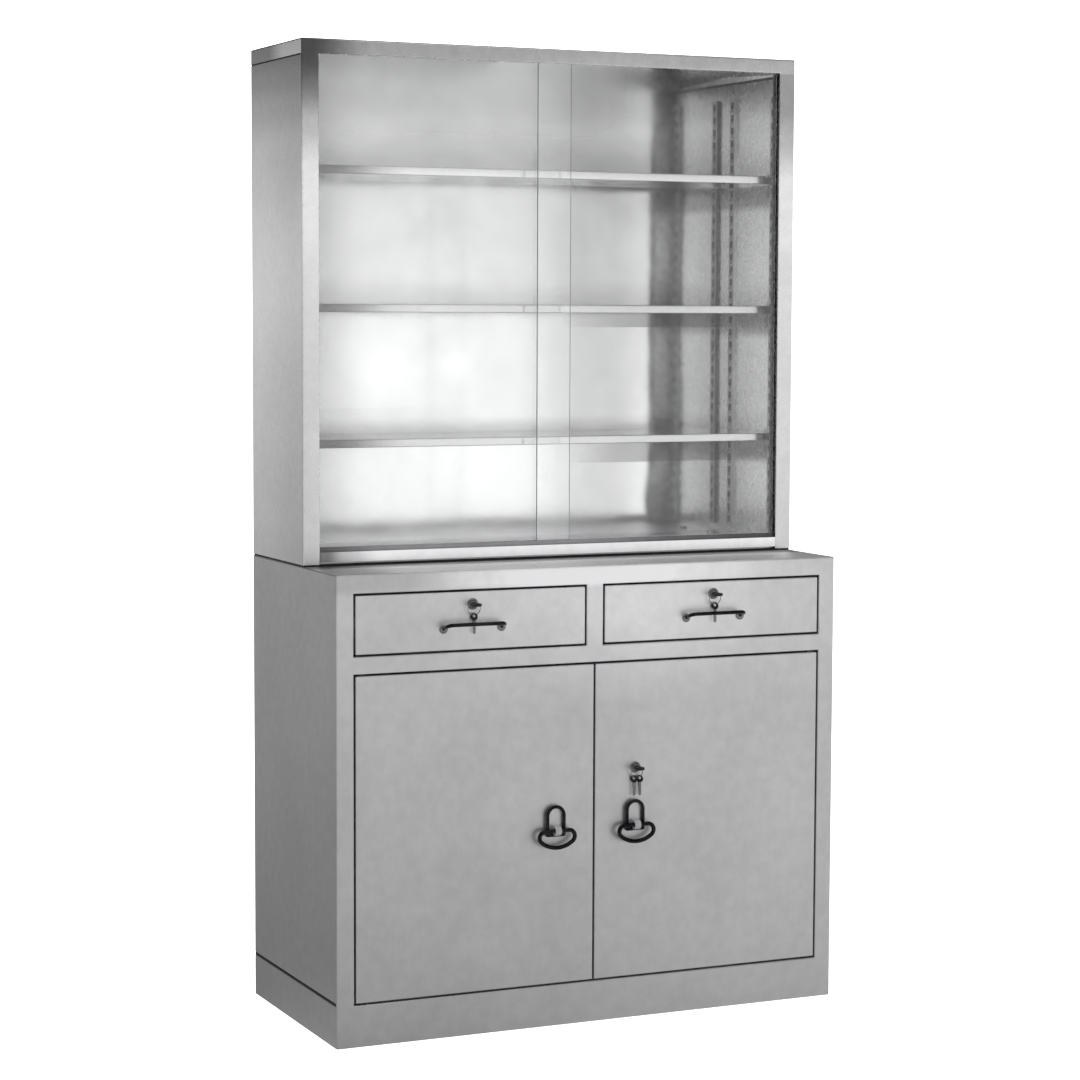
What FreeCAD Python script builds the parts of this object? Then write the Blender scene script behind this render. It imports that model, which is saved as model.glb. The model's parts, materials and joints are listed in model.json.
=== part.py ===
import FreeCAD, Part
import math
import os

# A two-part medical cabinet in folded stainless sheet: a glazed upper case with shelves
# stands at the back of a deeper lower case with two drawers and two doors.
# Millimetres. +X is to the viewer's right, +Y runs from the front to the back, +Z is up.
# The origin is under the middle of everything, on the floor.

V = FreeCAD.Vector
os.makedirs("parts", exist_ok=True)

# Main sizes
width = 1000.0
lower_depth = 450.0
upper_depth = 280.0
lower_height = 840.0
total_height = 1780.0
plinth_height = 75.0
sheet = 1.2

# Lower face frame
stile_width = 33.0
top_rail_height = 34.0
drawer_height = 111.0
middle_rail_height = 31.0
partition_width = 33.0
frame_depth = 20.0
middle_rail_depth = 45.0
gap = 3.5
seam = 4.0
seam_start = 4.0
plinth_flange = 25.0
side_flange = 15.0
tray_lip = 17.0

# Upper case
upper_stile_depth = 30.0
cap_height = 27.0
upper_rail_height = 18.0
upper_rail_lift = 7.0
upper_seam = 3.0
upper_floor_drop = 7.0
foot_inset = 12.0
cap_return = 6.0
lip_overlap = 16.0

# Sliding glass and its tracks
glass = 5.0
glass_play = 0.5
glass_overlap = 70.0
glass_side_gap = 1.0
glass_lift = 7.0
track_wall = 1.5
track_base = 2.0
track_setback = 8.0
track_height = 15.0
top_track_height = 21.0

# Shelves, standards and clips
shelf_shares = [0.2394, 0.501, 0.766]
lower_shelf_share = 0.443
shelf_fold = 15.0
shelf_setback = 45.0
shelf_end_gap = 1.0
shelf_back_gap = 3.0
standard_width = 20.0
standard_depth = 6.0
standard_sheet = 1.5
standard_front_offset = 75.0
standard_back_offset = 40.0
standard_end_gap = 12.0
slot_pitch = 25.0
slot_height = 12.0
slot_width = 5.0
clip_reach = 14.0
clip_width = 12.0
clip_height = 14.0
clip_sheet = 2.0

# Drawers and their slides
front_thickness = 18.0
drawer_wall = 1.0
drawer_length = 400.0
drawer_floor_gap = 10.0
drawer_top_gap = 9.0
slide_thickness = 12.7
slide_height = 36.0
slide_sheet = 1.2
slide_gap = 0.3
slide_length = 390.0
slide_drop = 61.0
bracket_height = 60.0

# Doors and their pivots
door_sheet = 1.0
liner_fold = 8.0
liner_gap = 0.2
pin_radius = 3.0
pin_from_edge = 14.0
pin_from_front = 8.0
pin_length = 9.0
pin_root = 12.0
pin_clearance = 0.05
bush_radius = 4.5
bush_length = 8.0
bush_flange = 7.0
fit_gap = 0.1
catch_width = 36.0
catch_height = 14.0
catch_depth = 20.0
catch_offset = 45.0
catch_gap = 0.4

# Locks and keys
lock_rim = 3.0
lock_rim_radius = 10.5
lock_radius = 8.5
lock_length = 22.0
plug_radius = 6.0
nut_radius = 13.0
nut_height = 3.0
hub_radius = 3.5
cam_sheet = 2.0
cam_width = 12.0
cam_gap = 0.4
drawer_cam_length = 36.0
door_cam_length = 100.0
key_sheet = 2.0
key_width = 6.5
key_neck = 8.0
neck_radius = 3.6
key_depth = 14.0
bow_radius = 9.0
bow_sheet = 5.0
bow_sink = 1.0
bow_hole = 3.0
drawer_lock_drop = 26.0
door_lock_x = 83.0
door_lock_z = 466.0

# Spare keys on their rings
ring_radius = 12.0
ring_wire = 0.8
hang_gap = 0.3
spare_drop = 1.0
spare_bow = 7.0
spare_length = 24.0
spare_blade = 6.5
spare_turn = 40.0
spare_spread = 29.0

# Drawer bow handles
handle_span = 112.0
handle_radius = 3.5
handle_reach = 24.0
handle_rise = 9.0
handle_bend = 11.0
handle_drop = 69.0
foot_radius = 8.0
foot_height = 3.0

# Door pulls: an arched mount with a swinging ring
pull_x = 80.0
pull_bottom = 350.0
pull_height = 58.0
pull_width = 39.0
pull_rim = 6.5
pull_rim_height = 9.0
pull_web = 3.0
lug_width = 12.0
lug_radius = 9.0
ring_axis_height = 12.0
ring_axis_reach = 13.5
bar_radius = 4.0
bar_gap = 0.4
ring_corner = 11.5
ring_half_top = 23.5
ring_drop = 31.0

# Joining bolts
bolt_radius = 4.0
bolt_head = 7.0
bolt_head_height = 5.0
bolt_length = 40.0
bolt_side_inset = 60.0
bolt_end_inset = 60.0

# One overrun serves every cut
over = 2.0

# Places worked out from the sizes above
key_reach = lock_rim + key_neck + 2 * bow_radius - bow_sink
half = width / 2
front = (key_reach - lower_depth) / 2
back = front + lower_depth
upper_front = back - upper_depth
inner = half - sheet
opening = half - stile_width
worktop_under = lower_height - sheet
drawer_top = lower_height - top_rail_height
drawer_bottom = drawer_top - drawer_height
door_top = drawer_bottom - middle_rail_height
panel_back = back - sheet
inside_back = panel_back - sheet
cap_bottom = total_height - cap_height
cap_under = total_height - sheet
upper_bottom = lower_height + upper_seam
rail_bottom = lower_height + upper_rail_lift
rail_top = rail_bottom + upper_rail_height
upper_floor = rail_top - upper_floor_drop
shelf_tops = [lower_height + share * (total_height - lower_height) for share in shelf_shares]
lower_shelf_top = lower_shelf_share * lower_height
half_partition = partition_width / 2
drawer_x = (opening + half_partition) / 2
lock_z = drawer_top - drawer_lock_drop
slide_z = drawer_top - slide_drop


def box(x0, x1, y0, y1, z0, z1):
    return Part.makeBox(x1 - x0, y1 - y0, z1 - z0, V(x0, y0, z0))


def rod_y(radius, x, z, y0, y1):
    return Part.makeCylinder(radius, y1 - y0, V(x, y0, z), V(0, 1, 0))


def rod_z(radius, x, y, z0, z1):
    return Part.makeCylinder(radius, z1 - z0, V(x, y, z0))


def fuse(first, *others):
    return first.fuse(list(others)).removeSplitter()


def mirrored(shape):
    return shape.mirror(V(0, 0, 0), V(1, 0, 0))


def save(name, *solids):
    Part.makeCompound(list(solids)).exportStep("parts/" + name + ".step")


def save_pair(left_name, right_name, *left_solids):
    save(left_name, *left_solids)
    save(right_name, *[mirrored(s) for s in left_solids])


def rail_channel(x0, x1, y0, y1, z0, z1):
    # A rail folded to a U, with its web at the front and its mouth at the back.
    outer = box(x0, x1, y0, y1, z0, z1)
    hollow = box(x0 - over, x1 + over, y0 + sheet, y1 + over, z0 + sheet, z1 - sheet)
    return outer.cut(hollow)


def stile_channel(x0, x1, y0, y1, z0, z1, seam_z0, seam_z1):
    # The seam of the side runs on into the stile's outer wall, up to its front bend.
    outer = box(x0, x1, y0, y1, z0, z1)
    hollow = box(x0 + sheet, x1 - sheet, y0 + sheet, y1 + over, z0 - over, z1 + over)
    slot = box(x0 - over, x0 + sheet + over, y0 + seam_start, y1 + over, seam_z0, seam_z1)
    return outer.cut(hollow).cut(slot)


def hexagon(radius, x, z, y0, y1):
    corners = [
        V(x + radius * math.cos(math.radians(a)), y0, z + radius * math.sin(math.radians(a)))
        for a in range(0, 361, 60)
    ]
    return Part.Face(Part.makePolygon(corners)).extrude(V(0, y1 - y0, 0))


def pin_place(side):
    # The pivot line of a door: side is -1 for the left door and 1 for the right one.
    return side * (opening - gap - pin_from_edge), front + pin_from_front


def bush_hole(side, z0, z1):
    x, y = pin_place(side)
    return rod_z(bush_radius + fit_gap, x, y, z0, z1)


# Lower case


def plinth():
    start = front + frame_depth
    web = box(-half, -inner, start, panel_back, 0, plinth_height)
    foot = box(-half, plinth_flange - half, start, panel_back, 0, sheet)
    head = foot.copy()
    head.translate(V(0, 0, plinth_height - sheet))
    left = fuse(web, foot, head)
    side = half - plinth_flange
    back_web = box(-half, half, panel_back, back, 0, plinth_height)
    back_foot = box(-side, side, back - plinth_flange, back, 0, sheet)
    back_head = back_foot.copy()
    back_head.translate(V(0, 0, plinth_height - sheet))
    save("plinth", left, mirrored(left), fuse(back_web, back_foot, back_head))


def face_frame():
    y1 = front + frame_depth
    seam_top = plinth_height + seam
    stile = stile_channel(
        -half, -opening, front, y1, 0, worktop_under, plinth_height, seam_top
    )
    save_pair("left_stile", "right_stile", stile)
    base = rail_channel(-opening, opening, front, y1, 0, plinth_height)
    for side in (-1, 1):
        base = base.cut(bush_hole(side, plinth_height - sheet - over, plinth_height + over))
    save("base_rail", base)
    depth = front + middle_rail_depth
    middle = rail_channel(-opening, opening, front, depth, door_top, drawer_bottom)
    for side in (-1, 1):
        middle = middle.cut(bush_hole(side, door_top - over, door_top + sheet + over))
    save("middle_rail", middle)


def hinge_bushes():
    bushes = []
    for side in (-1, 1):
        x, y = pin_place(side)
        for seat, way in ((plinth_height, -1), (door_top, 1)):
            flange_end = seat - way * gap
            tube_end = seat + way * bush_length
            flange = rod_z(bush_flange, x, y, min(seat, flange_end), max(seat, flange_end))
            tube = rod_z(bush_radius, x, y, min(seat, tube_end), max(seat, tube_end))
            low = min(flange_end, tube_end) - over
            high = max(flange_end, tube_end) + over
            bore = rod_z(pin_radius + pin_clearance, x, y, low, high)
            bushes.append(fuse(flange, tube).cut(bore))
    save("hinge_bushes", *bushes)


def lower_shell():
    start = front + frame_depth
    skin = box(-half, -inner, start, back, plinth_height + seam, worktop_under)
    rear = box(-half, side_flange - half, panel_back, back, plinth_height + seam, worktop_under)
    save_pair("left_lower_side", "right_lower_side", fuse(skin, rear))
    low = plinth_height + sheet
    save("lower_back", box(-inner, inner, inside_back, panel_back, low, worktop_under))
    plate = box(-inner, inner, start, panel_back, plinth_height, low)
    lip_top = plinth_height + tray_lip
    left_lip = box(-inner, sheet - inner, start, inside_back, plinth_height, lip_top)
    back_lip = box(-inner, inner, inside_back - sheet, inside_back, plinth_height, lip_top)
    save("lower_floor", fuse(plate, left_lip, mirrored(left_lip), back_lip))


def worktop():
    plate = box(-half, half, front, back, worktop_under, lower_height)
    fold = box(-opening, opening, front, front + sheet, drawer_top, worktop_under)
    hem = box(-opening, opening, front, front + frame_depth, drawer_top, drawer_top + sheet)
    top = fuse(plate, fold, hem)
    for x, y in bolt_places():
        top = top.cut(rod_z(bolt_radius + fit_gap, x, y, worktop_under - over, lower_height + over))
    save("worktop", top)


def drawer_divider():
    start = front + middle_rail_depth
    save(
        "drawer_divider",
        box(-inner, inner, start, inside_back, drawer_bottom - sheet, drawer_bottom),
    )


def drawer_partition():
    # A closed box beam from the front to the back between the drawers.
    # Its front end shows as the upright between them.
    x = half_partition
    start = front + frame_depth
    nose = box(-x, x, front, start, drawer_bottom, drawer_top)
    beam = box(-x, x, start, inside_back, drawer_bottom, worktop_under)
    nose_hollow = box(
        sheet - x,
        x - sheet,
        front + sheet,
        start + sheet,
        drawer_bottom + sheet,
        drawer_top - sheet,
    )
    beam_hollow = box(
        sheet - x,
        x - sheet,
        start + sheet,
        inside_back + over,
        drawer_bottom + sheet,
        worktop_under - sheet,
    )
    save("drawer_partition", fuse(nose, beam).cut(nose_hollow).cut(beam_hollow))


def runner_brackets():
    start = front + frame_depth
    z0 = slide_z - bracket_height / 2
    z1 = slide_z + bracket_height / 2
    outer = box(-inner, -opening, start, inside_back, z0, z1)
    hollow = box(
        -inner - over, -opening - sheet, start - over, inside_back + over, z0 + sheet, z1 - sheet
    )
    bracket = outer.cut(hollow)
    save("runner_brackets", bracket, mirrored(bracket))


def slide_track(wall, way):
    # A fixed C track. wall is the face that carries it and way points to the drawer.
    y0 = front + frame_depth + sheet
    y1 = y0 + slide_length
    z0 = slide_z - slide_height / 2
    z1 = slide_z + slide_height / 2
    mouth = wall + way * (slide_thickness - slide_sheet - slide_gap)
    web = wall + way * slide_sheet
    outer = box(min(wall, mouth), max(wall, mouth), y0, y1, z0, z1)
    far = mouth + way * over
    z0 = z0 + slide_sheet
    z1 = z1 - slide_sheet
    return outer.cut(box(min(web, far), max(web, far), y0 - over, y1 + over, z0, z1))


def slide_runner(wall, way):
    # The moving C that is fixed to the drawer's side and runs inside the track.
    y0 = front + frame_depth + sheet
    y1 = y0 + slide_length
    reach = slide_height / 2 - slide_sheet - slide_gap
    near = wall + way * (slide_sheet + slide_gap)
    far = wall + way * slide_thickness
    web = far - way * slide_sheet
    outer = box(min(near, far), max(near, far), y0, y1, slide_z - reach, slide_z + reach)
    past = near - way * over
    reach = reach - slide_sheet
    hollow = box(
        min(past, web), max(past, web), y0 - over, y1 + over, slide_z - reach, slide_z + reach
    )
    return outer.cut(hollow)


def slides():
    tracks = [slide_track(-opening, 1), slide_track(-half_partition, -1)]
    save("slide_tracks", *tracks, *[mirrored(t) for t in tracks])
    runners = [slide_runner(-opening, 1), slide_runner(-half_partition, -1)]
    save_pair("left_drawer_runners", "right_drawer_runners", *runners)


def door_catches():
    y0 = front + front_thickness + catch_gap
    catch = box(
        -catch_offset - catch_width / 2,
        -catch_offset + catch_width / 2,
        y0,
        y0 + catch_depth,
        door_top - catch_height,
        door_top,
    )
    save("door_catches", catch, mirrored(catch))


# Upper case


def upper_sides():
    start = upper_front + upper_stile_depth
    top = cap_bottom - upper_seam
    stile = stile_channel(
        -half, -opening, upper_front, start, upper_bottom, cap_bottom, top, cap_bottom + over
    )
    save_pair("left_upper_stile", "right_upper_stile", stile)
    skin = box(-half, -inner, start, back, upper_bottom, top)
    rear = box(-half, side_flange - half, panel_back, back, upper_bottom, top)
    lip = box(-inner, sheet - inner, start, inside_back, top - lip_overlap, cap_under)
    save_pair("left_upper_side", "right_upper_side", fuse(skin, rear, lip))
    save("upper_back", box(-inner, inner, inside_back, panel_back, upper_bottom, cap_under))


def upper_floor_panel():
    plate_under = upper_floor - sheet
    start = upper_front + upper_stile_depth
    back_part = box(-inner, inner, start, inside_back, plate_under, upper_floor)
    front_part = box(-opening, opening, upper_front, start, plate_under, upper_floor)
    rail = box(-opening, opening, upper_front, upper_front + sheet, rail_bottom, rail_top)
    foot_front = upper_front + foot_inset
    foot_side = half - foot_inset
    front_foot = box(
        -opening, opening, foot_front, foot_front + sheet, lower_height, plate_under
    )
    left_foot = box(
        -foot_side, sheet - foot_side, start, inside_back, lower_height, plate_under
    )
    back_foot = box(
        -foot_side, foot_side, inside_back - sheet, inside_back, lower_height, plate_under
    )
    panel = fuse(
        back_part, front_part, rail, front_foot, left_foot, mirrored(left_foot), back_foot
    )
    for x, y in bolt_places():
        panel = panel.cut(rod_z(bolt_radius + fit_gap, x, y, plate_under - over, upper_floor + over))
    save("upper_floor", panel)


def upper_cap():
    outer = box(-half, half, upper_front, back, cap_bottom, total_height)
    hollow = box(
        -inner, inner, upper_front + sheet, panel_back, cap_bottom - over, cap_under
    )
    cap = outer.cut(hollow)
    hem = box(
        -opening, opening, upper_front, upper_front + cap_return, cap_bottom, cap_bottom + sheet
    )
    save("upper_top", fuse(cap, hem))


def glass_groove(index):
    # The front face of a groove: 0 is the front groove and 1 is the one behind it.
    pitch = track_wall + glass + 2 * glass_play
    return upper_front + track_setback + track_wall + index * pitch


def track(z_base, z_walls, way):
    y0 = upper_front + track_setback
    y1 = glass_groove(1) + glass + 2 * glass_play + track_wall
    body = box(-opening, opening, y0, y1, min(z_base, z_walls), max(z_base, z_walls))
    for index in (0, 1):
        g0 = glass_groove(index)
        g1 = g0 + glass + 2 * glass_play
        z0 = z_base + way * track_base
        z1 = z_walls + way * over
        body = body.cut(box(-opening - over, opening + over, g0, g1, min(z0, z1), max(z0, z1)))
    return body


def tracks():
    save("bottom_track", track(upper_floor, upper_floor + track_height, 1))
    save("top_track", track(cap_under, cap_under - top_track_height, -1))


def glass_doors():
    z0 = upper_floor + track_base
    z1 = cap_under - track_base - glass_lift
    edge = opening - glass_side_gap
    for name, side, index in (("left_glass", -1, 1), ("right_glass", 1, 0)):
        x0 = min(side * edge, -side * glass_overlap / 2)
        x1 = max(side * edge, -side * glass_overlap / 2)
        y0 = glass_groove(index) + glass_play
        save(name, box(x0, x1, y0, y0 + glass, z0, z1))


def standard(y, z0, z1):
    # A slotted upright on the left wall, a shallow channel with its mouth to the wall.
    x0 = -inner
    x1 = standard_depth - inner
    y0 = y - standard_width / 2
    y1 = y + standard_width / 2
    body = box(x0, x1, y0, y1, z0, z1)
    hollow = box(
        x0 - over,
        x1 - standard_sheet,
        y0 + standard_sheet,
        y1 - standard_sheet,
        z0 - over,
        z1 + over,
    )
    body = body.cut(hollow)
    slots = []
    count = int((z1 - z0 - slot_pitch) / slot_pitch)
    for i in range(count):
        z = z0 + slot_pitch * (i + 1)
        y_slot = y - slot_width / 2
        slots.append(
            box(x1 - standard_sheet - over, x1 + over, y_slot, y_slot + slot_width, z, z + slot_height)
        )
    return body.cut(Part.makeCompound(slots))


def standard_places(face, depth):
    return face + standard_front_offset, face + depth - standard_back_offset


def shelf_standards():
    uprights = []
    low = upper_floor + standard_end_gap
    high = cap_bottom - upper_seam - lip_overlap - standard_end_gap
    for y in standard_places(upper_front, upper_depth):
        uprights.append(standard(y, low, high))
    low = plinth_height + tray_lip + standard_end_gap
    high = drawer_bottom - sheet - standard_end_gap
    for y in standard_places(front, lower_depth):
        uprights.append(standard(y, low, high))
    save("shelf_standards", *uprights, *[mirrored(u) for u in uprights])


def clip(y, z):
    # A clip on the left wall's standard. z is its top, under the shelf's plate.
    wall = standard_depth - inner
    leg = box(
        wall, wall + clip_sheet, y - clip_width / 2, y + clip_width / 2, z - clip_height, z
    )
    ledge = box(
        wall, wall + clip_reach, y - clip_width / 2, y + clip_width / 2, z - clip_sheet, z
    )
    return fuse(leg, ledge)


def shelf_clips():
    clips = []
    for top in shelf_tops:
        for y in standard_places(upper_front, upper_depth):
            clips.append(clip(y, top - sheet))
    for y in standard_places(front, lower_depth):
        clips.append(clip(y, lower_shelf_top - sheet))
    save("shelf_clips", *clips, *[mirrored(c) for c in clips])


def shelf(face, top):
    x = inner - standard_depth - shelf_end_gap
    y0 = face + shelf_setback
    y1 = inside_back - shelf_back_gap
    plate = box(-x, x, y0, y1, top - sheet, top)
    nose = box(-x, x, y0, y0 + sheet, top - shelf_fold, top)
    tail = box(-x, x, y1 - sheet, y1, top - shelf_fold, top)
    return fuse(plate, nose, tail)


def shelves():
    for name, top in zip(("low_shelf", "middle_shelf", "high_shelf"), shelf_tops):
        save(name, shelf(upper_front, top))
    save("lower_shelf", shelf(front, lower_shelf_top))


def bolt_places():
    x = half - bolt_side_inset
    y0 = upper_front + bolt_end_inset
    y1 = back - bolt_end_inset
    return [(-x, y0), (x, y0), (-x, y1), (x, y1)]


def joining_bolts():
    bolts = []
    for x, y in bolt_places():
        shank = rod_z(bolt_radius, x, y, upper_floor - bolt_length, upper_floor)
        head = rod_z(bolt_head, x, y, upper_floor, upper_floor + bolt_head_height)
        nut_z = worktop_under - bolt_head_height
        nut = rod_z(bolt_head, x, y, nut_z, worktop_under)
        bolts.append(fuse(shank, head, nut))
    save("joining_bolts", *bolts)


# Drawers


def lock_hole(x, z):
    return rod_y(lock_radius + fit_gap, x, z, front - over, front + front_thickness + over)


def drawers():
    x0 = gap - opening
    x1 = -half_partition - gap
    z0 = drawer_bottom + gap
    z1 = drawer_top - gap
    y1 = front + front_thickness
    pan = box(x0, x1, front, y1, z0, z1)
    hollow = box(x0 + sheet, x1 - sheet, front + sheet, y1 + over, z0 + sheet, z1 - sheet)
    pan = pan.cut(hollow).cut(lock_hole(-drawer_x, lock_z))
    save_pair("left_drawer_front", "right_drawer_front", pan)
    x0 = slide_thickness - opening
    x1 = -half_partition - slide_thickness
    z0 = drawer_bottom + drawer_floor_gap
    z1 = drawer_top - drawer_top_gap
    y2 = y1 + drawer_length
    wall = drawer_wall
    low = z0 + wall
    tray = [
        box(x0, x1, y1, y2, z0, low),
        box(x0, x0 + wall, y1, y2, low, z1),
        box(x1 - wall, x1, y1, y2, low, z1),
        box(x0 + wall, x1 - wall, y2 - wall, y2, low, z1),
        box(x0 + wall, x1 - wall, y1, y1 + wall, low, z1).cut(lock_hole(-drawer_x, lock_z)),
    ]
    save_pair("left_drawer_box", "right_drawer_box", *tray)


def bow_path(x, z, y):
    # Out from one foot, round a bend, along the grip and back, in a plane that rises
    # towards the grip.
    length = math.hypot(handle_reach, handle_rise)
    out_y = -handle_reach / length
    out_z = handle_rise / length
    side = handle_span / 2
    bend = handle_bend
    corner = bend * (1 - math.cos(math.radians(45)))

    def at(along, out):
        return V(x + along, y + out * out_y, z + out * out_z)

    edges = [
        Part.LineSegment(at(-side, 0), at(-side, length - bend)),
        Part.Arc(
            at(-side, length - bend),
            at(-side + corner, length - corner),
            at(-side + bend, length),
        ),
        Part.LineSegment(at(-side + bend, length), at(side - bend, length)),
        Part.Arc(
            at(side - bend, length), at(side - corner, length - corner), at(side, length - bend)
        ),
        Part.LineSegment(at(side, length - bend), at(side, 0)),
    ]
    return Part.Wire([e.toShape() for e in edges]), V(0, out_y, out_z)


def bow_handles():
    z = drawer_top - handle_drop
    path, way = bow_path(-drawer_x, z, front)
    start = V(-drawer_x - handle_span / 2, front, z)
    ring = Part.Wire(Part.makeCircle(handle_radius, start, way))
    bar = path.makePipeShell([ring], True, False)
    feet = [
        rod_y(foot_radius, -drawer_x + s * handle_span / 2, z, front - foot_height, front)
        for s in (-1, 1)
    ]
    reach = handle_span
    behind = box(
        -drawer_x - reach, -drawer_x + reach, front, front + foot_radius, z - reach, z + reach
    )
    save_pair("left_drawer_handle", "right_drawer_handle", fuse(bar, *feet).cut(behind))


# Locks and keys


def lock_body(x, z, seat):
    # The threaded barrel with its rim, and the nut behind the panel at seat.
    end = front + lock_length
    rim = rod_y(lock_rim_radius, x, z, front - lock_rim, front)
    barrel = rod_y(lock_radius, x, z, front, end)
    bore = rod_y(plug_radius + pin_clearance, x, z, front - lock_rim - over, end + over)
    nut = hexagon(nut_radius, x, z, seat, seat + nut_height)
    nut_bore = rod_y(lock_radius + fit_gap, x, z, seat - over, seat + nut_height + over)
    return [fuse(rim, barrel).cut(bore), nut.cut(nut_bore)]


def key_blank(x, y_tip, y_face, y_bow, z):
    # A flat key in a level plane. Its thick moulded bow, towards the viewer, has a round neck
    # that reaches to the lock's face.
    t = key_sheet / 2
    w = key_width / 2
    blade = box(x - w, x + w, y_bow, y_tip, z - t, z + t)
    bow_y = y_bow + bow_sink - bow_radius
    disc = rod_z(bow_radius, x, bow_y, z - bow_sheet / 2, z + bow_sheet / 2)
    hole_y = bow_y - (bow_radius - bow_hole) / 2
    hole = rod_z(bow_hole, x, hole_y, z - bow_sheet, z + bow_sheet)
    neck = rod_y(neck_radius, x, z, y_bow, y_face - fit_gap)
    return fuse(blade, disc, neck).cut(hole)


def cam(x, z, length, angle):
    y0 = front + lock_length + cam_gap
    round_end = rod_y(cam_width / 2, x, z, y0, y0 + cam_sheet)
    bar = box(x, x + length, y0, y0 + cam_sheet, z - cam_width / 2, z + cam_width / 2)
    hole = rod_y(hub_radius + fit_gap, x, z, y0 - over, y0 + cam_sheet + over)
    plate = fuse(round_end, bar).cut(hole)
    plate.rotate(V(x, 0, z), V(0, -1, 0), angle)
    return plate


def lock_plug(x, z, length, angle):
    t = key_sheet / 2 + fit_gap
    w = key_width / 2 + fit_gap
    face = front - lock_rim
    core = rod_y(plug_radius, x, z, face, front + lock_length)
    slot = box(x - w, x + w, face - over, face + key_depth + fit_gap, z - t, z + t)
    end = front + lock_length
    hub = rod_y(hub_radius, x, z, end, end + cam_gap + cam_sheet)
    plug = fuse(core, hub).cut(slot)
    key = key_blank(x, face + key_depth, face, face - key_neck, z)
    return [plug, cam(x, z, length, angle), key]


def spare_key(x, y, z, turn):
    # A key that hangs with its hole at the place given, turned about the upright.
    t = key_sheet / 2
    bow_z = z - (spare_bow - bow_hole) / 2
    tip = bow_z - spare_bow - spare_length
    disc = Part.makeCylinder(spare_bow, key_sheet, V(x - t, y, bow_z), V(1, 0, 0))
    blade = box(x - t, x + t, y - spare_blade / 2, y + spare_blade / 2, tip, bow_z)
    hole = Part.makeCylinder(bow_hole, key_sheet + 2 * over, V(x - t - over, y, z), V(1, 0, 0))
    key = fuse(disc, blade).cut(hole)
    key.rotate(V(x, y, z), V(0, 0, 1), turn)
    return key


def spare_bunch(x, z, spreads):
    # A wire ring round the neck of the key in the lock, with keys along its lower side.
    y = front - lock_rim - key_neck / 2
    middle = z + neck_radius + hang_gap - (ring_radius - ring_wire)
    ring = Part.makeTorus(ring_radius, ring_wire, V(x, y, middle), V(0, 1, 0))
    pieces = [ring]
    for spread in spreads:
        a = math.radians(spread)
        key_x = x + ring_radius * math.sin(a)
        key_z = middle - ring_radius * math.cos(a) - spare_drop
        pieces.append(spare_key(key_x, y, key_z, spare_turn))
    return pieces


def locks():
    seat = front + front_thickness
    drawer_seat = seat + drawer_wall
    for name, x in (("left_drawer", -drawer_x), ("right_drawer", drawer_x)):
        save(name + "_lock", *lock_body(x, lock_z, drawer_seat))
        save(name + "_key_and_cam", *lock_plug(x, lock_z, drawer_cam_length, 0))
        save(name + "_spare_key", *spare_bunch(x, lock_z, [0]))
    save("door_lock", *lock_body(door_lock_x, door_lock_z, seat))
    save("door_key_and_cam", *lock_plug(door_lock_x, door_lock_z, door_cam_length, 90))
    spreads = [-spare_spread, spare_spread]
    save("door_spare_keys", *spare_bunch(door_lock_x, door_lock_z, spreads))


# Doors


def doors():
    x0 = gap - opening
    x1 = -gap / 2
    z0 = plinth_height + gap
    z1 = door_top - gap
    y1 = front + front_thickness
    skin = door_sheet
    outer = box(x0, x1, front, y1, z0, z1)
    hollow = box(x0 + skin, x1 - skin, front + skin, y1 + over, z0 + skin, z1 - skin)
    x, y = pin_place(-1)
    low_pin = rod_z(pin_radius, x, y, z0 - gap - pin_length, z0 + pin_root)
    high_pin = rod_z(pin_radius, x, y, z1 - pin_root, z1 + gap + pin_length)
    panel = fuse(outer.cut(hollow), low_pin, high_pin)
    save("left_door_panel", panel)
    save("right_door_panel", mirrored(panel).cut(lock_hole(door_lock_x, door_lock_z)))
    edge = skin + liner_gap
    x0 = x0 + edge
    x1 = x1 - edge
    z0 = z0 + edge
    z1 = z1 - edge
    plate = box(x0, x1, y1 - liner_fold, y1, z0, z1)
    well = box(
        x0 + skin, x1 - skin, y1 - liner_fold - over, y1 - skin, z0 + skin, z1 - skin
    )
    liner = plate.cut(well)
    notch = pin_radius + liner_gap
    for end in (z0, z1):
        liner = liner.cut(
            box(x - notch, x + notch, y - notch, y + notch, end - pin_root, end + pin_root)
        )
    save("left_door_liner", liner)
    save("right_door_liner", mirrored(liner).cut(lock_hole(door_lock_x, door_lock_z)))


def arch_plate(x, inset, y0, y1):
    # An upright arch: straight sides under a half circle.
    radius = pull_width / 2 - inset
    z0 = pull_bottom + inset
    spring = pull_bottom + pull_height - pull_width / 2
    legs = box(x - radius, x + radius, y0, y1, z0, spring)
    return fuse(legs, rod_y(radius, x, spring, y0, y1))


def pull_mount(x):
    z = pull_bottom + ring_axis_height
    rim = arch_plate(x, 0, front - pull_rim_height, front)
    well = arch_plate(x, pull_rim, front - pull_rim_height - over, front - pull_web)
    lug_x = x - lug_width / 2
    barrel = Part.makeCylinder(
        lug_radius, lug_width, V(lug_x, front - ring_axis_reach, z), V(1, 0, 0)
    )
    block = box(
        lug_x, lug_x + lug_width, front - ring_axis_reach, front, z - lug_radius, z + lug_radius
    )
    bore = Part.makeCylinder(
        bar_radius + bar_gap, 2 * pull_width, V(x - pull_width, front - ring_axis_reach, z), V(1, 0, 0)
    )
    return fuse(rim.cut(well), barrel, block).cut(bore)


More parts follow.
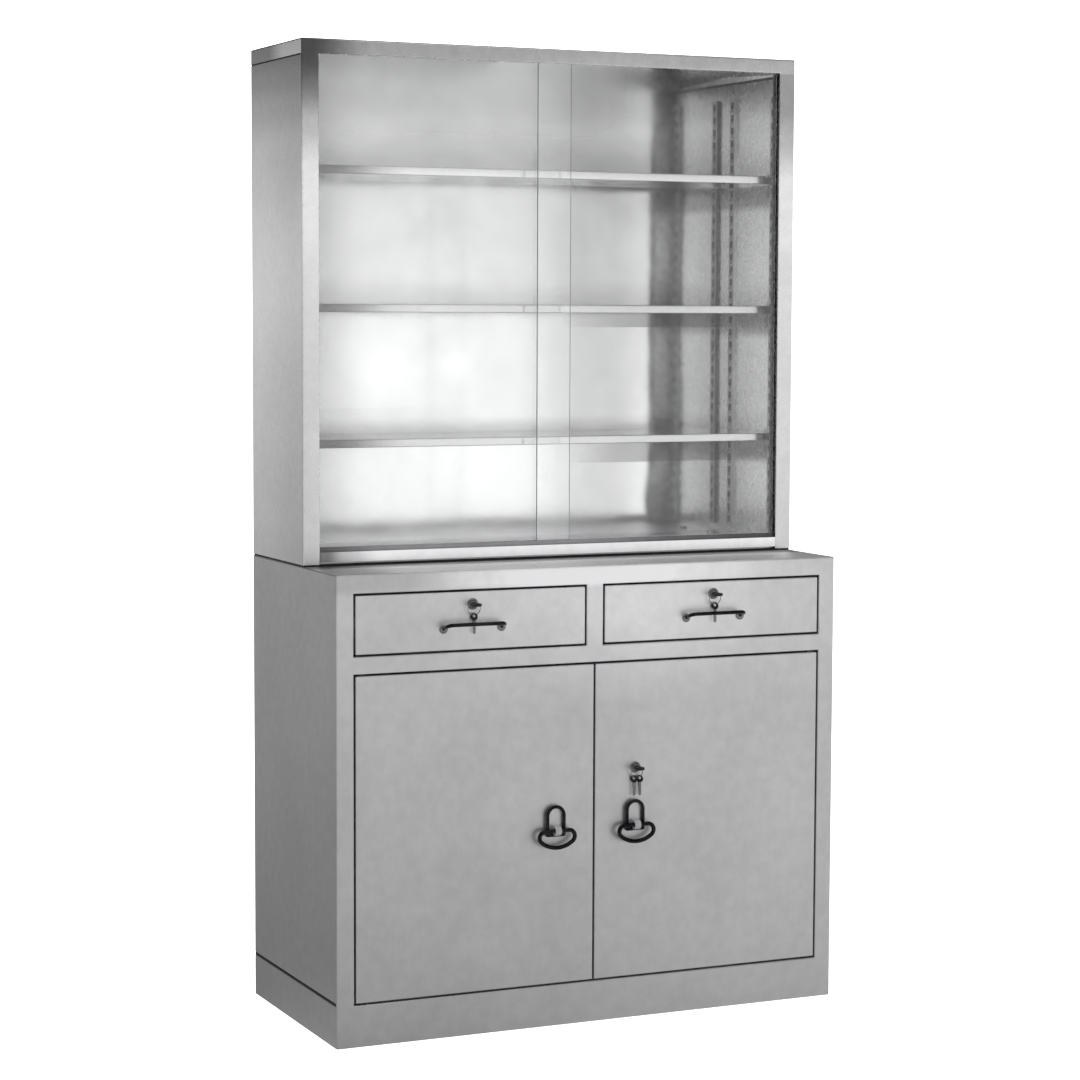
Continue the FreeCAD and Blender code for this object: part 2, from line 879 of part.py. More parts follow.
def pull_ring(x):
    # The ring's middle line: a straight top, two tight corners and a wide arc below,
    # each tangent to the next.
    y = front - ring_axis_reach
    z = pull_bottom + ring_axis_height
    top = ring_half_top
    corner = ring_corner
    fall = ring_drop - corner
    wide = (fall**2 + top**2 - corner**2) / (2 * (fall - corner))
    centre = wide - ring_drop
    lean = math.atan2(top, centre + corner)

    def at(side, along, up):
        return V(x + side * along, y, z + up)

    def on_corner(side, turn):
        return at(
            side, top + corner * math.sin(turn), corner * (math.cos(turn) - 1)
        )

    last = math.pi - lean
    meet = [on_corner(s, last) for s in (1, -1)]
    edges = [
        Part.LineSegment(at(-1, top, 0), at(1, top, 0)),
        Part.Arc(at(1, top, 0), on_corner(1, last / 2), meet[0]),
        Part.Arc(meet[0], at(1, 0, -ring_drop), meet[1]),
        Part.Arc(meet[1], on_corner(-1, last / 2), at(-1, top, 0)),
    ]
    path = Part.Wire([e.toShape() for e in edges])
    section = Part.Wire(Part.makeCircle(bar_radius, at(-1, top, 0), V(1, 0, 0)))
    return path.makePipeShell([section], True, False)


def pulls():
    save("left_pull_mount", pull_mount(-pull_x))
    save("right_pull_mount", pull_mount(pull_x))
    save("left_pull_ring", pull_ring(-pull_x))
    save("right_pull_ring", pull_ring(pull_x))


plinth()
face_frame()
hinge_bushes()
lower_shell()
worktop()
drawer_divider()
drawer_partition()
runner_brackets()
slides()
door_catches()
upper_sides()
upper_floor_panel()
upper_cap()
tracks()
glass_doors()
shelf_standards()
shelf_clips()
shelves()
joining_bolts()
drawers()
bow_handles()
locks()
doors()
pulls()
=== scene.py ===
import json
import math
import bmesh
import bpy
import numpy as np
from mathutils import Matrix, Vector


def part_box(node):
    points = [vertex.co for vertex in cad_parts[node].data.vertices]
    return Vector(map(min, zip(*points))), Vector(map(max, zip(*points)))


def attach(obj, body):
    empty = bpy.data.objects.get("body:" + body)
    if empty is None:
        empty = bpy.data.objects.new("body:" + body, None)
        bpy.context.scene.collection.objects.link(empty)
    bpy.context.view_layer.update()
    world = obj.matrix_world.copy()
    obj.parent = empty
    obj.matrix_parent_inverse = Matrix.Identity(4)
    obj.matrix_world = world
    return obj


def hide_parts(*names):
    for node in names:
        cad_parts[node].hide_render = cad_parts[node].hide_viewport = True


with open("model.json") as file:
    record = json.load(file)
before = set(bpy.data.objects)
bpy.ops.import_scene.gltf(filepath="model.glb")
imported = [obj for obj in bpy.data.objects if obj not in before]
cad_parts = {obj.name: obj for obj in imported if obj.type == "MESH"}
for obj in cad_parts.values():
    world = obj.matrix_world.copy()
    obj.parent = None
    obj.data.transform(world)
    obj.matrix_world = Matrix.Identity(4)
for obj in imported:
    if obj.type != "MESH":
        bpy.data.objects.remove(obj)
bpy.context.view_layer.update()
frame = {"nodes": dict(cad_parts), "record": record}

scene = bpy.context.scene
nodes = frame["nodes"]
mm = 0.001
tiny = 0.00001
nearlyFlat = 0.9  # two faces fold if the product of their normals is less
print("frame loaded:", len(nodes), "nodes")


# The camera stands to the left of the cabinet, at about the height of the middle shelf.
cameraView = {
    "place": (-2.1743, -4.7505, 1.3003),
    "yaw": 0.4267,     # from the back towards the right, in radians
    "pitch": -0.0821,  # downwards
    "roll": 0.0037,
    "lens": 92.956,
    "sensor": 36.0,
    "farthest": 200.0,
}


def placeCamera(view):
    yaw, pitch, roll = view["yaw"], view["pitch"], view["roll"]
    ahead = Vector((math.sin(yaw) * math.cos(pitch), math.cos(yaw) * math.cos(pitch), math.sin(pitch)))
    right = Vector((math.cos(yaw), -math.sin(yaw), 0.0))
    up = right.cross(ahead)
    across = right * math.cos(roll) + up * math.sin(roll)
    upright = up * math.cos(roll) - right * math.sin(roll)
    turn = Matrix((across, upright, -ahead)).transposed()
    data = bpy.data.cameras.new("photoCamera")
    data.lens = view["lens"]
    data.sensor_width = view["sensor"]
    data.clip_end = view["farthest"]
    camera = bpy.data.objects.new("photoCamera", data)
    camera.matrix_world = Matrix.Translation(view["place"]) @ turn.to_4x4()
    scene.collection.objects.link(camera)
    scene.camera = camera


placeCamera(cameraView)


# Node helpers

def operator(name):
    return lambda first, second: mathNode(first.tree, name, first, second)


class Signal:
    # What a node puts out. Arithmetic and comparisons with it add Math nodes.
    def __init__(self, socket):
        self.socket = socket
        self.tree = socket.id_data

    __add__, __sub__ = operator("ADD"), operator("SUBTRACT")
    __mul__, __rmul__, __truediv__ = operator("MULTIPLY"), operator("MULTIPLY"), operator("DIVIDE")
    __pow__, __gt__, __lt__ = operator("POWER"), operator("GREATER_THAN"), operator("LESS_THAN")


def out(node, key=0):
    return Signal(node.outputs[key])


def setInputs(node, inputs):
    # Each input is a number, a colour or a signal.
    for key, value in inputs.items():
        if isinstance(value, Signal):
            node.id_data.links.new(value.socket, node.inputs[key])
        else:
            node.inputs[key].default_value = value


def addNode(tree, kind, inputs=(), **settings):
    node = tree.nodes.new(kind)
    for key, value in settings.items():
        setattr(node, key, value)
    setInputs(node, dict(inputs))
    return node


def mathNode(tree, operation, *values):
    return out(addNode(tree, "ShaderNodeMath", enumerate(values), operation=operation))


def ramp(value, low, high, toLow=0.0, toHigh=1.0, smooth=False):
    ends = {"Value": value, "From Min": low, "From Max": high, "To Min": toLow, "To Max": toHigh}
    kind = "SMOOTHSTEP" if smooth else "LINEAR"
    return out(addNode(value.tree, "ShaderNodeMapRange", ends, interpolation_type=kind))


def mix(factor, first, second, kind="FLOAT"):
    ends = {"Factor": factor, "A": first, "B": second}
    return out(addNode(factor.tree, "ShaderNodeMix", ends, data_type=kind), "Result")


def opaque(color):
    return (*color, 1.0)


def curve(value, stops, highest=2.0):
    # A curve through (place from 0 to 1, level up to the highest), with rounded turns.
    node = addNode(value.tree, "ShaderNodeValToRGB", {"Fac": value})
    elements = node.color_ramp.elements
    node.color_ramp.interpolation = "EASE"
    while len(elements) < len(stops):
        elements.new(1.0)
    for element, (place, level) in zip(elements, stops):
        element.position = place
        element.color = opaque([level / highest] * 3)
    return out(node, "Color") * highest


def coordinates(tree, kind="Object"):
    place = out(addNode(tree, "ShaderNodeTexCoord"), kind)
    apart = addNode(tree, "ShaderNodeSeparateXYZ", {0: place})
    return out(apart, "X"), out(apart, "Y"), out(apart, "Z")


# The studio: a pale floor, a soft surround and one soft lamp. A sweep changes the level smoothly
# along a way over the ground, from one end to the other.
studio = {
    "white": 2.4,            # what the camera and matt surfaces see
    # What the steel mirrors at each height, from 0.1 below the horizon to 0.9 above it
    "below": 0.1,
    "heights": [(0.0, 1.17), (0.10, 1.19), (0.13, 1.15), (0.147, 1.04), (0.168, 0.72), (0.22, 0.34), (0.30, 0.18),
                (0.45, 0.18), (1.0, 0.5)],
    "behindLeft": {"way": (0.45, -0.9), "ends": (-1.0, 0.6), "levels": (0.58, 1.0)},
    "band": 0.42,            # an upright bright band to the front right
    "bandEdges": (0.352, 0.378, 0.425, 0.475),
    # Two bright spots in it: the place across and up, the size and the level
    "glows": [(0.389, -0.025, 0.014, 0.5), (0.420, -0.018, 0.011, 0.4)],
    "inside": (0.95, 1.1),   # what a second mirroring finds, low and high
    "insideAt": (0.03, 0.09),
    "insideFloor": 1.2,      # and on the floor
    "insideGain": 1.3,       # and how much more each further one finds
    # What the steel mirrors of the floor: the distance and the level there
    "floorLevels": [(0.6, 0.56), (1.1, 0.68), (7.0, 1.18)],
    "floorBehind": {"way": (-0.4, 1.0), "ends": (-0.6, 0.9), "levels": (1.0, 0.46)},
    "floorLeft": {"way": (1.0, 0.42), "ends": (-0.9, 0.5), "levels": (0.84, 1.08)},
    "floorBand": (5.0, 11.0),
    "floorSize": 60.0,
    "floorColor": (0.97, 0.97, 0.97),
}


def rayLevel(tree, look, mirrored, inside, matt):
    # The first mirroring finds the mirrored level, later ones find the inside's, and the camera
    # and matt surfaces see the matt level. Each further mirroring finds more light, as the
    # inside of the upper case is lit by many.
    path = addNode(tree, "ShaderNodeLightPath")
    depth = out(path, "Glossy Depth")
    gain = mathNode(tree, "POWER", look["insideGain"], depth - 2.0)
    level = mix(depth > 1.5, mirrored, gain * inside)
    plain = mathNode(tree, "MAXIMUM", out(path, "Is Camera Ray"), out(path, "Diffuse Depth") > 0.5)
    return mix(plain, level, matt), plain


def addGlow(lean, height, look):
    # level * e to the power of -(distance / size) squared
    acrossAt, upAt, size, level = look
    fall = (((lean - acrossAt) / size) ** 2.0 + ((height - upAt) / size) ** 2.0) * -1.0
    return mathNode(lean.tree, "EXPONENT", fall) * level


def addBand(x, y, look):
    # The band lies where X is about 0.4 of the way that -Y goes.
    lean = x / (y * -1.0)
    edges = look["bandEdges"]
    rise = ramp(lean, *edges[:2], 0.0, look["band"], True)
    fall = ramp(lean, *edges[2:], 1.0, 0.0, True)
    ahead = y < 0.0
    return lean, ahead, rise * fall * ahead


def sweep(x, y, look):
    across, along = look["way"]
    return ramp(x * across + y * along, *look["ends"], *look["levels"], True)


def makeWorld(look):
    world = bpy.data.worlds.new("studioSurround")
    world.use_nodes = True
    scene.world = world
    tree = world.node_tree
    tree.nodes.clear()
    x, y, z = coordinates(tree, "Generated")
    lean, ahead, band = addBand(x, y, look)
    ring = curve(z + look["below"], look["heights"]) * (band + 1.0)
    for glow in look["glows"]:
        ring = ring + addGlow(lean, z, glow) * ahead
    inside = ramp(z, *look["insideAt"], *look["inside"], True)
    level, _ = rayLevel(tree, look, ring * sweep(x, y, look["behindLeft"]), inside, look["white"])
    shade = addNode(tree, "ShaderNodeBackground", {"Color": (1.0, 1.0, 1.0, 1.0), "Strength": level})
    addNode(tree, "ShaderNodeOutputWorld", {"Surface": out(shade)})


def makeFloor(look):
    half = look["floorSize"] / 2
    mesh = bpy.data.meshes.new("floor")
    mesh.from_pydata([(-half, -half, 0), (half, -half, 0), (half, half, 0), (-half, half, 0)], [], [(0, 1, 2, 3)])
    floor = bpy.data.objects.new("floor", mesh)
    scene.collection.objects.link(floor)
    material = bpy.data.materials.new("paleFloor")
    material.use_nodes = True
    tree = material.node_tree
    tree.nodes.clear()
    matt = addNode(tree, "ShaderNodeBsdfDiffuse", {"Color": opaque(look["floorColor"])})
    x, y, _ = coordinates(tree)
    place = out(addNode(tree, "ShaderNodeTexCoord"), "Object")
    far = out(addNode(tree, "ShaderNodeVectorMath", {0: place}, operation="LENGTH"), "Value")
    (nearAt, near), (middleAt, middle), (farAt, farthest) = look["floorLevels"]
    level = ramp(far, nearAt, middleAt, near, middle) + ramp(far, middleAt, farAt, 0.0, farthest - middle)
    level = level * sweep(x, y, look["floorBehind"]) * sweep(x, y, look["floorLeft"])
    _, _, band = addBand(x, y, look)
    level = level * (band * ramp(far, *look["floorBand"]) + 1.0)
    level, plain = rayLevel(tree, look, level, look["insideFloor"], look["white"])
    glow = addNode(tree, "ShaderNodeEmission", {"Strength": level})
    both = addNode(tree, "ShaderNodeMixShader", {0: plain, 1: out(glow), 2: out(matt)})
    addNode(tree, "ShaderNodeOutputMaterial", {"Surface": out(both)})
    mesh.materials.append(material)


softLight = {"place": (0.3, -2.6, 3.3), "target": (0.0, 0.0, 1.2), "size": (2.6, 1.2), "level": 1.5}


def addSoftLight(look):
    data = bpy.data.lights.new("above", "AREA")
    data.shape = "RECTANGLE"
    data.size, data.size_y = look["size"]
    data.energy = look["level"] * math.pi * data.size * data.size_y
    lamp = bpy.data.objects.new("above", data)
    scene.collection.objects.link(lamp)
    way = Vector(look["target"]) - Vector(look["place"])
    lamp.matrix_world = Matrix.Translation(look["place"]) @ way.to_track_quat("-Z", "Y").to_matrix().to_4x4()
    lamp.visible_camera = False


makeWorld(studio)
makeFloor(studio)
addSoftLight(softLight)
scene.view_settings.view_transform = "Standard"
print("studio and camera placed")


# Effects that the finishes share

def newGroup(name, inputs, output):
    # The group, and a signal for each of its inputs.
    group = bpy.data.node_groups.new(name, "ShaderNodeTree")
    for title, value in inputs.items():
        socket = group.interface.new_socket(title, in_out="INPUT", socket_type="NodeSocketFloat")
        socket.default_value = value
    group.interface.new_socket(output, in_out="OUTPUT", socket_type="NodeSocketFloat")
    given = addNode(group, "NodeGroupInput")
    return group, [out(given, title) for title in inputs]


grainScale = {"Across": 700.0, "Along": 9.0}


def makeGrain(detail=3.0):
    # Long fine streaks: noise squeezed across the grain and stretched along it.
    group, (across, along) = newGroup("grainStreaks", grainScale, "Height")
    place = out(addNode(group, "ShaderNodeTexCoord"), "Object")
    stretch = out(addNode(group, "ShaderNodeCombineXYZ", {"X": across, "Y": across, "Z": along}))
    stretched = out(addNode(group, "ShaderNodeVectorMath", {0: place, 1: stretch}, operation="MULTIPLY"))
    noise = addNode(group, "ShaderNodeTexNoise", {"Scale": 1.0, "Detail": detail, "Vector": stretched})
    addNode(group, "NodeGroupOutput", {"Height": out(noise, "Fac")})
    return group


def makeClouds(detail=2.5, spread=(0.32, 0.68)):
    # Soft patches of the given size, from Low to High.
    group, (size, low, high) = newGroup("softClouds", {"Size": 0.1, "Low": 0.0, "High": 1.0}, "Value")
    place = out(addNode(group, "ShaderNodeTexCoord"), "Object")
    scale = mathNode(group, "DIVIDE", 1.0, size)
    noise = addNode(group, "ShaderNodeTexNoise", {"Scale": scale, "Detail": detail, "Vector": place})
    addNode(group, "NodeGroupOutput", {"Value": ramp(out(noise, "Fac"), *spread, low, high)})
    return group


grainStreaks = makeGrain()
softClouds = makeClouds()


def useGroup(tree, group, **values):
    return out(addNode(tree, "ShaderNodeGroup", values, node_tree=group))


def newFinish(name, color, metallic, roughness):
    material = bpy.data.materials.new(name)
    material.use_nodes = True
    shader = material.node_tree.nodes["Principled BSDF"]
    setInputs(shader, {"Base Color": color, "Metallic": metallic, "Roughness": roughness})
    return material, material.node_tree, shader


def steel(dark, light, rough, patches, metal=1.0, grain=0.0, wave=None):
    # Dark to light in small and large patches. Grain is the height of the streaks, and a wave has
    # a height and a size.
    return dict(dark=opaque(dark), light=opaque(light), rough=rough, patches=patches, metal=metal, grain=grain,
                wave=wave)


steelLooks = {
    "satinSteel": steel((0.56, 0.56, 0.565), (0.65, 0.65, 0.655), (0.42, 0.48), (0.02, 0.22), grain=0.000008,
                        wave=(0.0006, 0.45)),
    "upperSteel": steel((0.56, 0.56, 0.565), (0.67, 0.67, 0.675), (0.265, 0.28), (0.016, 0.2),
                        wave=(0.0005, 0.45)),
    "railSteel": steel((0.56, 0.56, 0.565), (0.65, 0.65, 0.655), (0.34, 0.40), (0.02, 0.22), grain=0.000008),
    "castSteel": steel((0.18, 0.18, 0.183), (0.25, 0.25, 0.253), (0.36, 0.46), (0.008, 0.04), metal=0.5),
    "smokedSteel": steel((0.14, 0.14, 0.143), (0.24, 0.24, 0.243), (0.26, 0.36), (0.008, 0.04)),
    # A lighter copy of the satin steel for the rounded bends: a painted highlight
    "bendHighlightSteel": steel((0.86, 0.86, 0.865), (0.94, 0.94, 0.945), (0.22, 0.28), (0.03, 0.3), grain=0.00001),
    "polishedSteel": steel((0.70, 0.70, 0.705), (0.80, 0.80, 0.805), (0.15, 0.19), (0.05, 0.3),
                           wave=(0.0010, 0.28)),
    "shelfSteel": steel((0.70, 0.70, 0.705), (0.80, 0.80, 0.805), (0.16, 0.22), (0.05, 0.3)),
    "zincSteel": steel((0.42, 0.43, 0.45), (0.58, 0.59, 0.61), (0.32, 0.48), (0.012, 0.08)),
    "standardSteel": steel((0.34, 0.34, 0.35), (0.52, 0.52, 0.53), (0.34, 0.5), (0.018, 0.1)),
    # Two copies of the tracks' aluminium: a dark one, painted shade on the bottom track, and a white one, painted
    # light on the top track
    "shadedAluminium": steel((0.13, 0.13, 0.135), (0.18, 0.18, 0.185), (0.36, 0.46), (0.02, 0.2),
                            metal=0.3, grain=0.00001),
    "litAluminium": steel((0.88, 0.88, 0.88), (0.95, 0.95, 0.95), (0.4, 0.5), (0.02, 0.2),
                            metal=0.0, grain=0.00001),
    # Chrome painted near black: a painted dark reflection
    "darkReflectionChrome": steel((0.008, 0.008, 0.009), (0.032, 0.032, 0.034), (0.14, 0.24), (0.01, 0.05)),
    "brightChrome": steel((0.70, 0.70, 0.71), (0.80, 0.80, 0.81), (0.09, 0.16), (0.01, 0.05)),
    "keyNickel": steel((0.22, 0.22, 0.215), (0.34, 0.34, 0.33), (0.24, 0.4), (0.006, 0.02)),
    # Brass painted near black: painted shade in the gaps at the doors' corners
    "shadeDarkBrass": steel((0.05, 0.043, 0.032), (0.09, 0.077, 0.056), (0.4, 0.5), (0.006, 0.02)),
}

shelfTops = [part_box(node)[1][2] for node in ("upper_floor", "low_shelf", "middle_shelf", "high_shelf")]
shelfBottoms = [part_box(node)[0][2] for node in ("low_shelf", "middle_shelf", "high_shelf")]
rightWall = ("x", "in", 0.4975, 0.4993)  # the inner face of the right side

# Painted light and shade on a sheet, as a share of its colour: painted shade where the share is
# below 1, painted highlights and reflections where it is above. Curves run over a part's height or
# width, as shares from 0 to 1, and four numbers are two places and the levels there. A patch is
# its share and then its limits: in a range, over or under a place, or a smooth fade or a straight
# slope from 0 at one place to 1 at another.
paintedLightLooks = {
    "upperSteel": {
        "heights": (0.84, 1.78),
        # Painted light and shade over the front's height: lighter towards three quarters of the way up, darker at
        # the top, and darker to the left and lighter to the right
        "front": [(0.0, 0.98), (0.10, 1.04), (0.32, 1.13), (0.53, 1.24), (0.66, 1.46), (0.75, 1.6), (0.84, 1.02),
                  (0.90, 0.72), (1.0, 0.78)],
        "across": (-0.45, 0.4, 0.92, 1.2),
        # Painted shade at the top left corner and on the right stile
        "frontPatches": [
            (0.22, ("z", "fade", 1.63, 1.75), ("x", "fade", -0.36, -0.48)),  # the top left corner
            (0.76, ("x", "over", 0.46), ("z", "under", 1.752)),              # the right stile
        ],
        # Painted light and shade over the side's height: darker at the top, and lighter towards the back
        "side": [(0.0, 0.97), (0.10, 1.06), (0.33, 1.18), (0.55, 1.40), (0.80, 1.28), (0.88, 0.98), (0.93, 0.74),
                 (0.98, 0.53), (1.0, 0.55)],
        "sideRise": (0.0, 0.2, 0.97, 1.14),
        # Painted reflection on the cap's skirt: bright at the front, and painted shade behind.
        "skirt": (0.05, 0.13, 1.75, 0.65),
        "skirtLimit": ("z", "over", 1.7528),
        "capLimit": ("z", "over", 1.7794),
        # Painted shade on the inner face of the right side
        "wallPatches": [(0.90, rightWall)],
        # Heights here are from each shelf's underside: painted shade below it and round its end
        "shelfPatches": [
            (0.5, rightWall, ("z", "in", -0.1, 0.0), ("z", "slope", -0.05, -0.035)),
            (0.12, rightWall, ("y", "fade", 0.075, 0.045), ("z", "fade", -0.032, -0.018),
             ("z", "fade", 0.026, 0.016)),
        ],
        # Painted light on the inside of the top, over its right half
        "innerTop": 1.45,
        "innerTopLimits": [("x", "in", 0.0, 0.4993), ("z", "in", 1.7535, 1.7795)],
        "behind": ("y", "slope", -0.0400, -0.0378),
        # Painted shade under the cap, to the right, in a band whose edge rises towards the back
        "edge": (0.05, 1.755),
        # Painted shade along the right stile's inner edge, and in that band under the cap
        "lastPatches": [
            (0.09, ("x", "in", 0.4655, 0.4676), ("y", "over", -0.0395)),  # the right stile's inner edge
            (0.3, ("z", "in", 1.7545, 1.7795), ("y", "in", -0.038, 0.2385), ("x", "under", 0.4995),
             ("x", "fade", 0.16, 0.34), ("overEdge", "over", 0.0)),
        ],
    },
    "satinSteel": {
        # Painted reflection on the upper part of the lower front, lightest in the middle
        "lower": [(0.0, 1.1), (0.11, 1.06), (0.39, 1.25), (0.59, 1.36), (0.76, 1.28), (0.87, 1.15), (1.0, 1.08)],
        "lowerRise": (0.58, 0.76),
        # Painted highlight along the top rail, with painted shade at its left end
        "nose": [(0.0, 0.86), (0.12, 0.86), (0.28, 1.25), (0.42, 1.5), (0.58, 1.3), (0.76, 1.12), (1.0, 1.0)],
        "noseRise": (0.800, 0.815),
        "behind": (-0.2095, -0.2085),
        # Painted light on the worktop's front strip, and painted shade by the upper case and at its left end
        "worktopFrom": 0.8392,
        "worktop": (-0.105, -0.075, 1.6, 0.4),
        "worktopEnd": (-0.44, -0.33, 0.55, 1.0),
    },
    "railSteel": {
        # Painted reflection along the rail: dark at its left end, lighter to the right
        "along": [(0.0, 0.3), (0.045, 0.4), (0.08, 1.0), (0.15, 1.5), (1.0, 1.52)],
        "behind": ("y", "over", -0.0400),
        "back": 1.0,
    },
    "shadedAluminium": {
        # Painted shade along the track's front, darkest at its ends, and painted light on its back
        "along": [(0.0, 0.35), (0.05, 0.4), (0.16, 0.9), (0.6, 0.95), (0.75, 0.45), (1.0, 0.2)],
        "behind": ("y", "slope", -0.0195, -0.0175),
        "back": 6.0,
    },
    "polishedSteel": {
        # Each bay has its own share of painted light, and painted shade just above its shelf: how dark, and how
        # far up
        "bays": [(1.0, 0.95, 0.03), (0.90, 0.85, 0.035), (0.84, 0.8, 0.06), (1.12, 0.5, 0.11)],
        "bayHeight": 0.2355,
        "shelfShadeHeight": 0.3,
        "shelfShadeFrom": 0.01,
        # Two painted highlights: the place across and up, the size and the gain
        "paintedHighlights": [(-0.237, 1.186, 0.055, 0.16), (-0.082, 1.205, 0.035, 0.12)],
        # Painted shade below the two lower shelves, to the right
        "under": 0.5,
        "underDepths": (0.05, 0.028),
        "underFade": ("x", "fade", 0.12, 0.34),
        # Painted reflection: the panel mirrors the right stile's back here, so it is painted lighter, most of all
        # low down.
        "lift": (0.95, 1.6, 1.55, 1.3),
        "liftLimits": [("x", "fade", 0.24, 0.36), ("x", "fade", 0.48, 0.40)],
        # Painted shade to the right, at the far left, and low down on the right
        "patches": [
            (0.75, ("x", "fade", 0.02, 0.2)),
            (0.68, ("x", "fade", -0.27, -0.40)),
            (0.86, ("x", "fade", 0.38, 0.46)),
            (0.90, ("x", "fade", 0.1, 0.4), ("z", "under", shelfBottoms[0])),
        ],
        "behind": ("y", "over", 0.2372),
        "back": 0.85,
        # It is shinier to the right, and dull along the top.
        "shiny": [(0.55, ("x", "fade", 0.12, 0.36))],
        "dull": 0.42,
        "dullLimits": [("z", "fade", 1.58, 1.71), ("x", "fade", 0.40, 0.16)],
    },
    "shelfSteel": {
        # Painted shade at the left end of the front, on the lower shelves' fronts, and under the right half of
        # each shelf
        "end": (-0.44, -0.27, 0.22, 0.95),
        "lowFronts": [(0.78, ("z", "under", 1.4))],
        # Heights here are from each shelf's top.
        "under": [(0.12, ("z", "in", -0.0018, -0.0006), ("y", "over", 0.0056), ("x", "fade", 0.16, 0.30))],
    },
    "standardSteel": {
        # Painted shade round each slot of the upper case's two rows. A step is a share of the slots' pitch.
        "rows": (0.034, 0.199),
        "start": 0.877,
        "pitch": 0.025,
        "slots": [(0.2, ("y", "in", -0.0058, 0.0058), ("step", "in", 0.0, 0.52), ("z", "over", 0.877))],
    },
}


def spot(place, *limits):
    # 1 where every limit holds and 0 elsewhere, with soft edges where a limit is a fade or a slope.
    mask = None
    for axis, kind, *ends in limits:
        value = place[axis]
        if kind == "in":
            part = (value > ends[0]) * (value < ends[1])
        elif kind in ("over", "under"):
            part = value > ends[0] if kind == "over" else value < ends[0]
        else:
            levels = (0.0, 1.0) if ends[0] < ends[1] else (1.0, 0.0)
            part = ramp(value, *sorted(ends), *levels, kind == "fade")
        mask = part if mask is None else mask * part
    return mask


def patched(tone, place, patches):
    # The tone as it is outside a patch, and the patch's share of it inside.
    for share, *limits in patches:
        tone = tone * ramp(spot(place, *limits), 0.0, 1.0, 1.0, share)
    return tone


def above(place, height):
    # The same place, with its height taken from the given one.
    return dict(place, z=place["z"] - height)


def upperTone(place, look):
    # Painted light and shade on the upper case: the front, the sides, the right wall by the shelves, the inside
    # of the top and the band under the cap.
    x, y, z = place.values()
    share = ramp(z, *look["heights"])
    front = curve(share, look["front"]) * ramp(x, *look["across"])
    front = patched(front, place, look["frontPatches"])
    side = curve(share, look["side"]) * ramp(y, *look["sideRise"])
    side = mix(spot(place, look["skirtLimit"]), side, ramp(y, *look["skirt"]))
    side = mix(spot(place, look["capLimit"]), side, 1.0)
    side = patched(side, place, look["wallPatches"])
    for low in shelfBottoms:
        side = patched(side, above(place, low), look["shelfPatches"])
    side = mix(spot(place, *look["innerTopLimits"]), side, look["innerTop"])
    tone = mix(spot(place, look["behind"]), front, side)
    rise, start = look["edge"]
    return patched(tone, dict(place, overEdge=z - (y * rise + start)), look["lastPatches"])


def lowerTone(place, look):
    # Painted light and shade on the lower case's front and worktop; the other faces keep their colour.
    x, y, z = place.values()
    lower = mix(ramp(z, *look["lowerRise"]), 1.0, curve(x + 0.5, look["lower"]))
    nose = mix(ramp(z, *look["noseRise"]), 1.0, curve(x + 0.5, look["nose"]))
    behind = ramp(y, *look["behind"])
    top = (z > look["worktopFrom"]) * behind
    worktop = ramp(y, *look["worktop"]) * ramp(x, *look["worktopEnd"], True)
    return mix(top, mix(behind, lower * nose, 1.0), worktop)


def frontTone(place, look):
    # Painted light and shade along the front from left to right; the faces behind take the back's share.
    return mix(spot(place, look["behind"]), curve(place["x"] + 0.5, look["along"]), look["back"])


def panelTone(place, look):
    # Painted light and shade on the back panel.
    tone = 1.0
    for low, (bay, shadeShare, rise) in zip(shelfTops, look["bays"]):
        patches = [(shadeShare, ("z", "in", 0.0, look["shelfShadeHeight"]), ("z", "fade", rise, look["shelfShadeFrom"])),
                   (bay, ("z", "in", 0.0, look["bayHeight"]))]
        tone = patched(tone, above(place, low), patches)
    for glow in look["paintedHighlights"]:
        tone = tone * (addGlow(place["x"], place["z"], glow) + 1.0)
    for low, depth in zip(shelfBottoms, look["underDepths"]):
        tone = patched(tone, above(place, low), [(look["under"], ("z", "in", -depth, 0.0), look["underFade"])])
    tone = patched(tone, place, [(ramp(place["z"], *look["lift"]), *look["liftLimits"])])
    tone = patched(tone, place, look["patches"])
    return mix(spot(place, look["behind"]), tone, look["back"])


def panelRough(rough, place, look):
    return mix(spot(place, *look["dullLimits"]), patched(rough, place, look["shiny"]), look["dull"])


def shelfTone(place, look):
    # Painted shade on the shelves.
    tone = patched(ramp(place["x"], *look["end"], True), place, look["lowFronts"])
    for top in shelfTops[1:]:
        tone = patched(tone, above(place, top), look["under"])
    return tone


def standardTone(place, look):
    # Painted shade in the slots.
    tone = 1.0
    step = mathNode(place["z"].tree, "FRACT", (place["z"] - look["start"]) / look["pitch"])
    for row in look["rows"]:
        tone = patched(tone, dict(place, y=place["y"] - row, step=step), look["slots"])
    return tone


paintedLightTones = {"upperSteel": upperTone, "satinSteel": lowerTone, "railSteel": frontTone, "polishedSteel": panelTone,
         "shelfSteel": shelfTone, "standardSteel": standardTone, "shadedAluminium": frontTone}
brightest = (0.98, 0.98, 0.98)
streakRange = (0.3, 0.7)


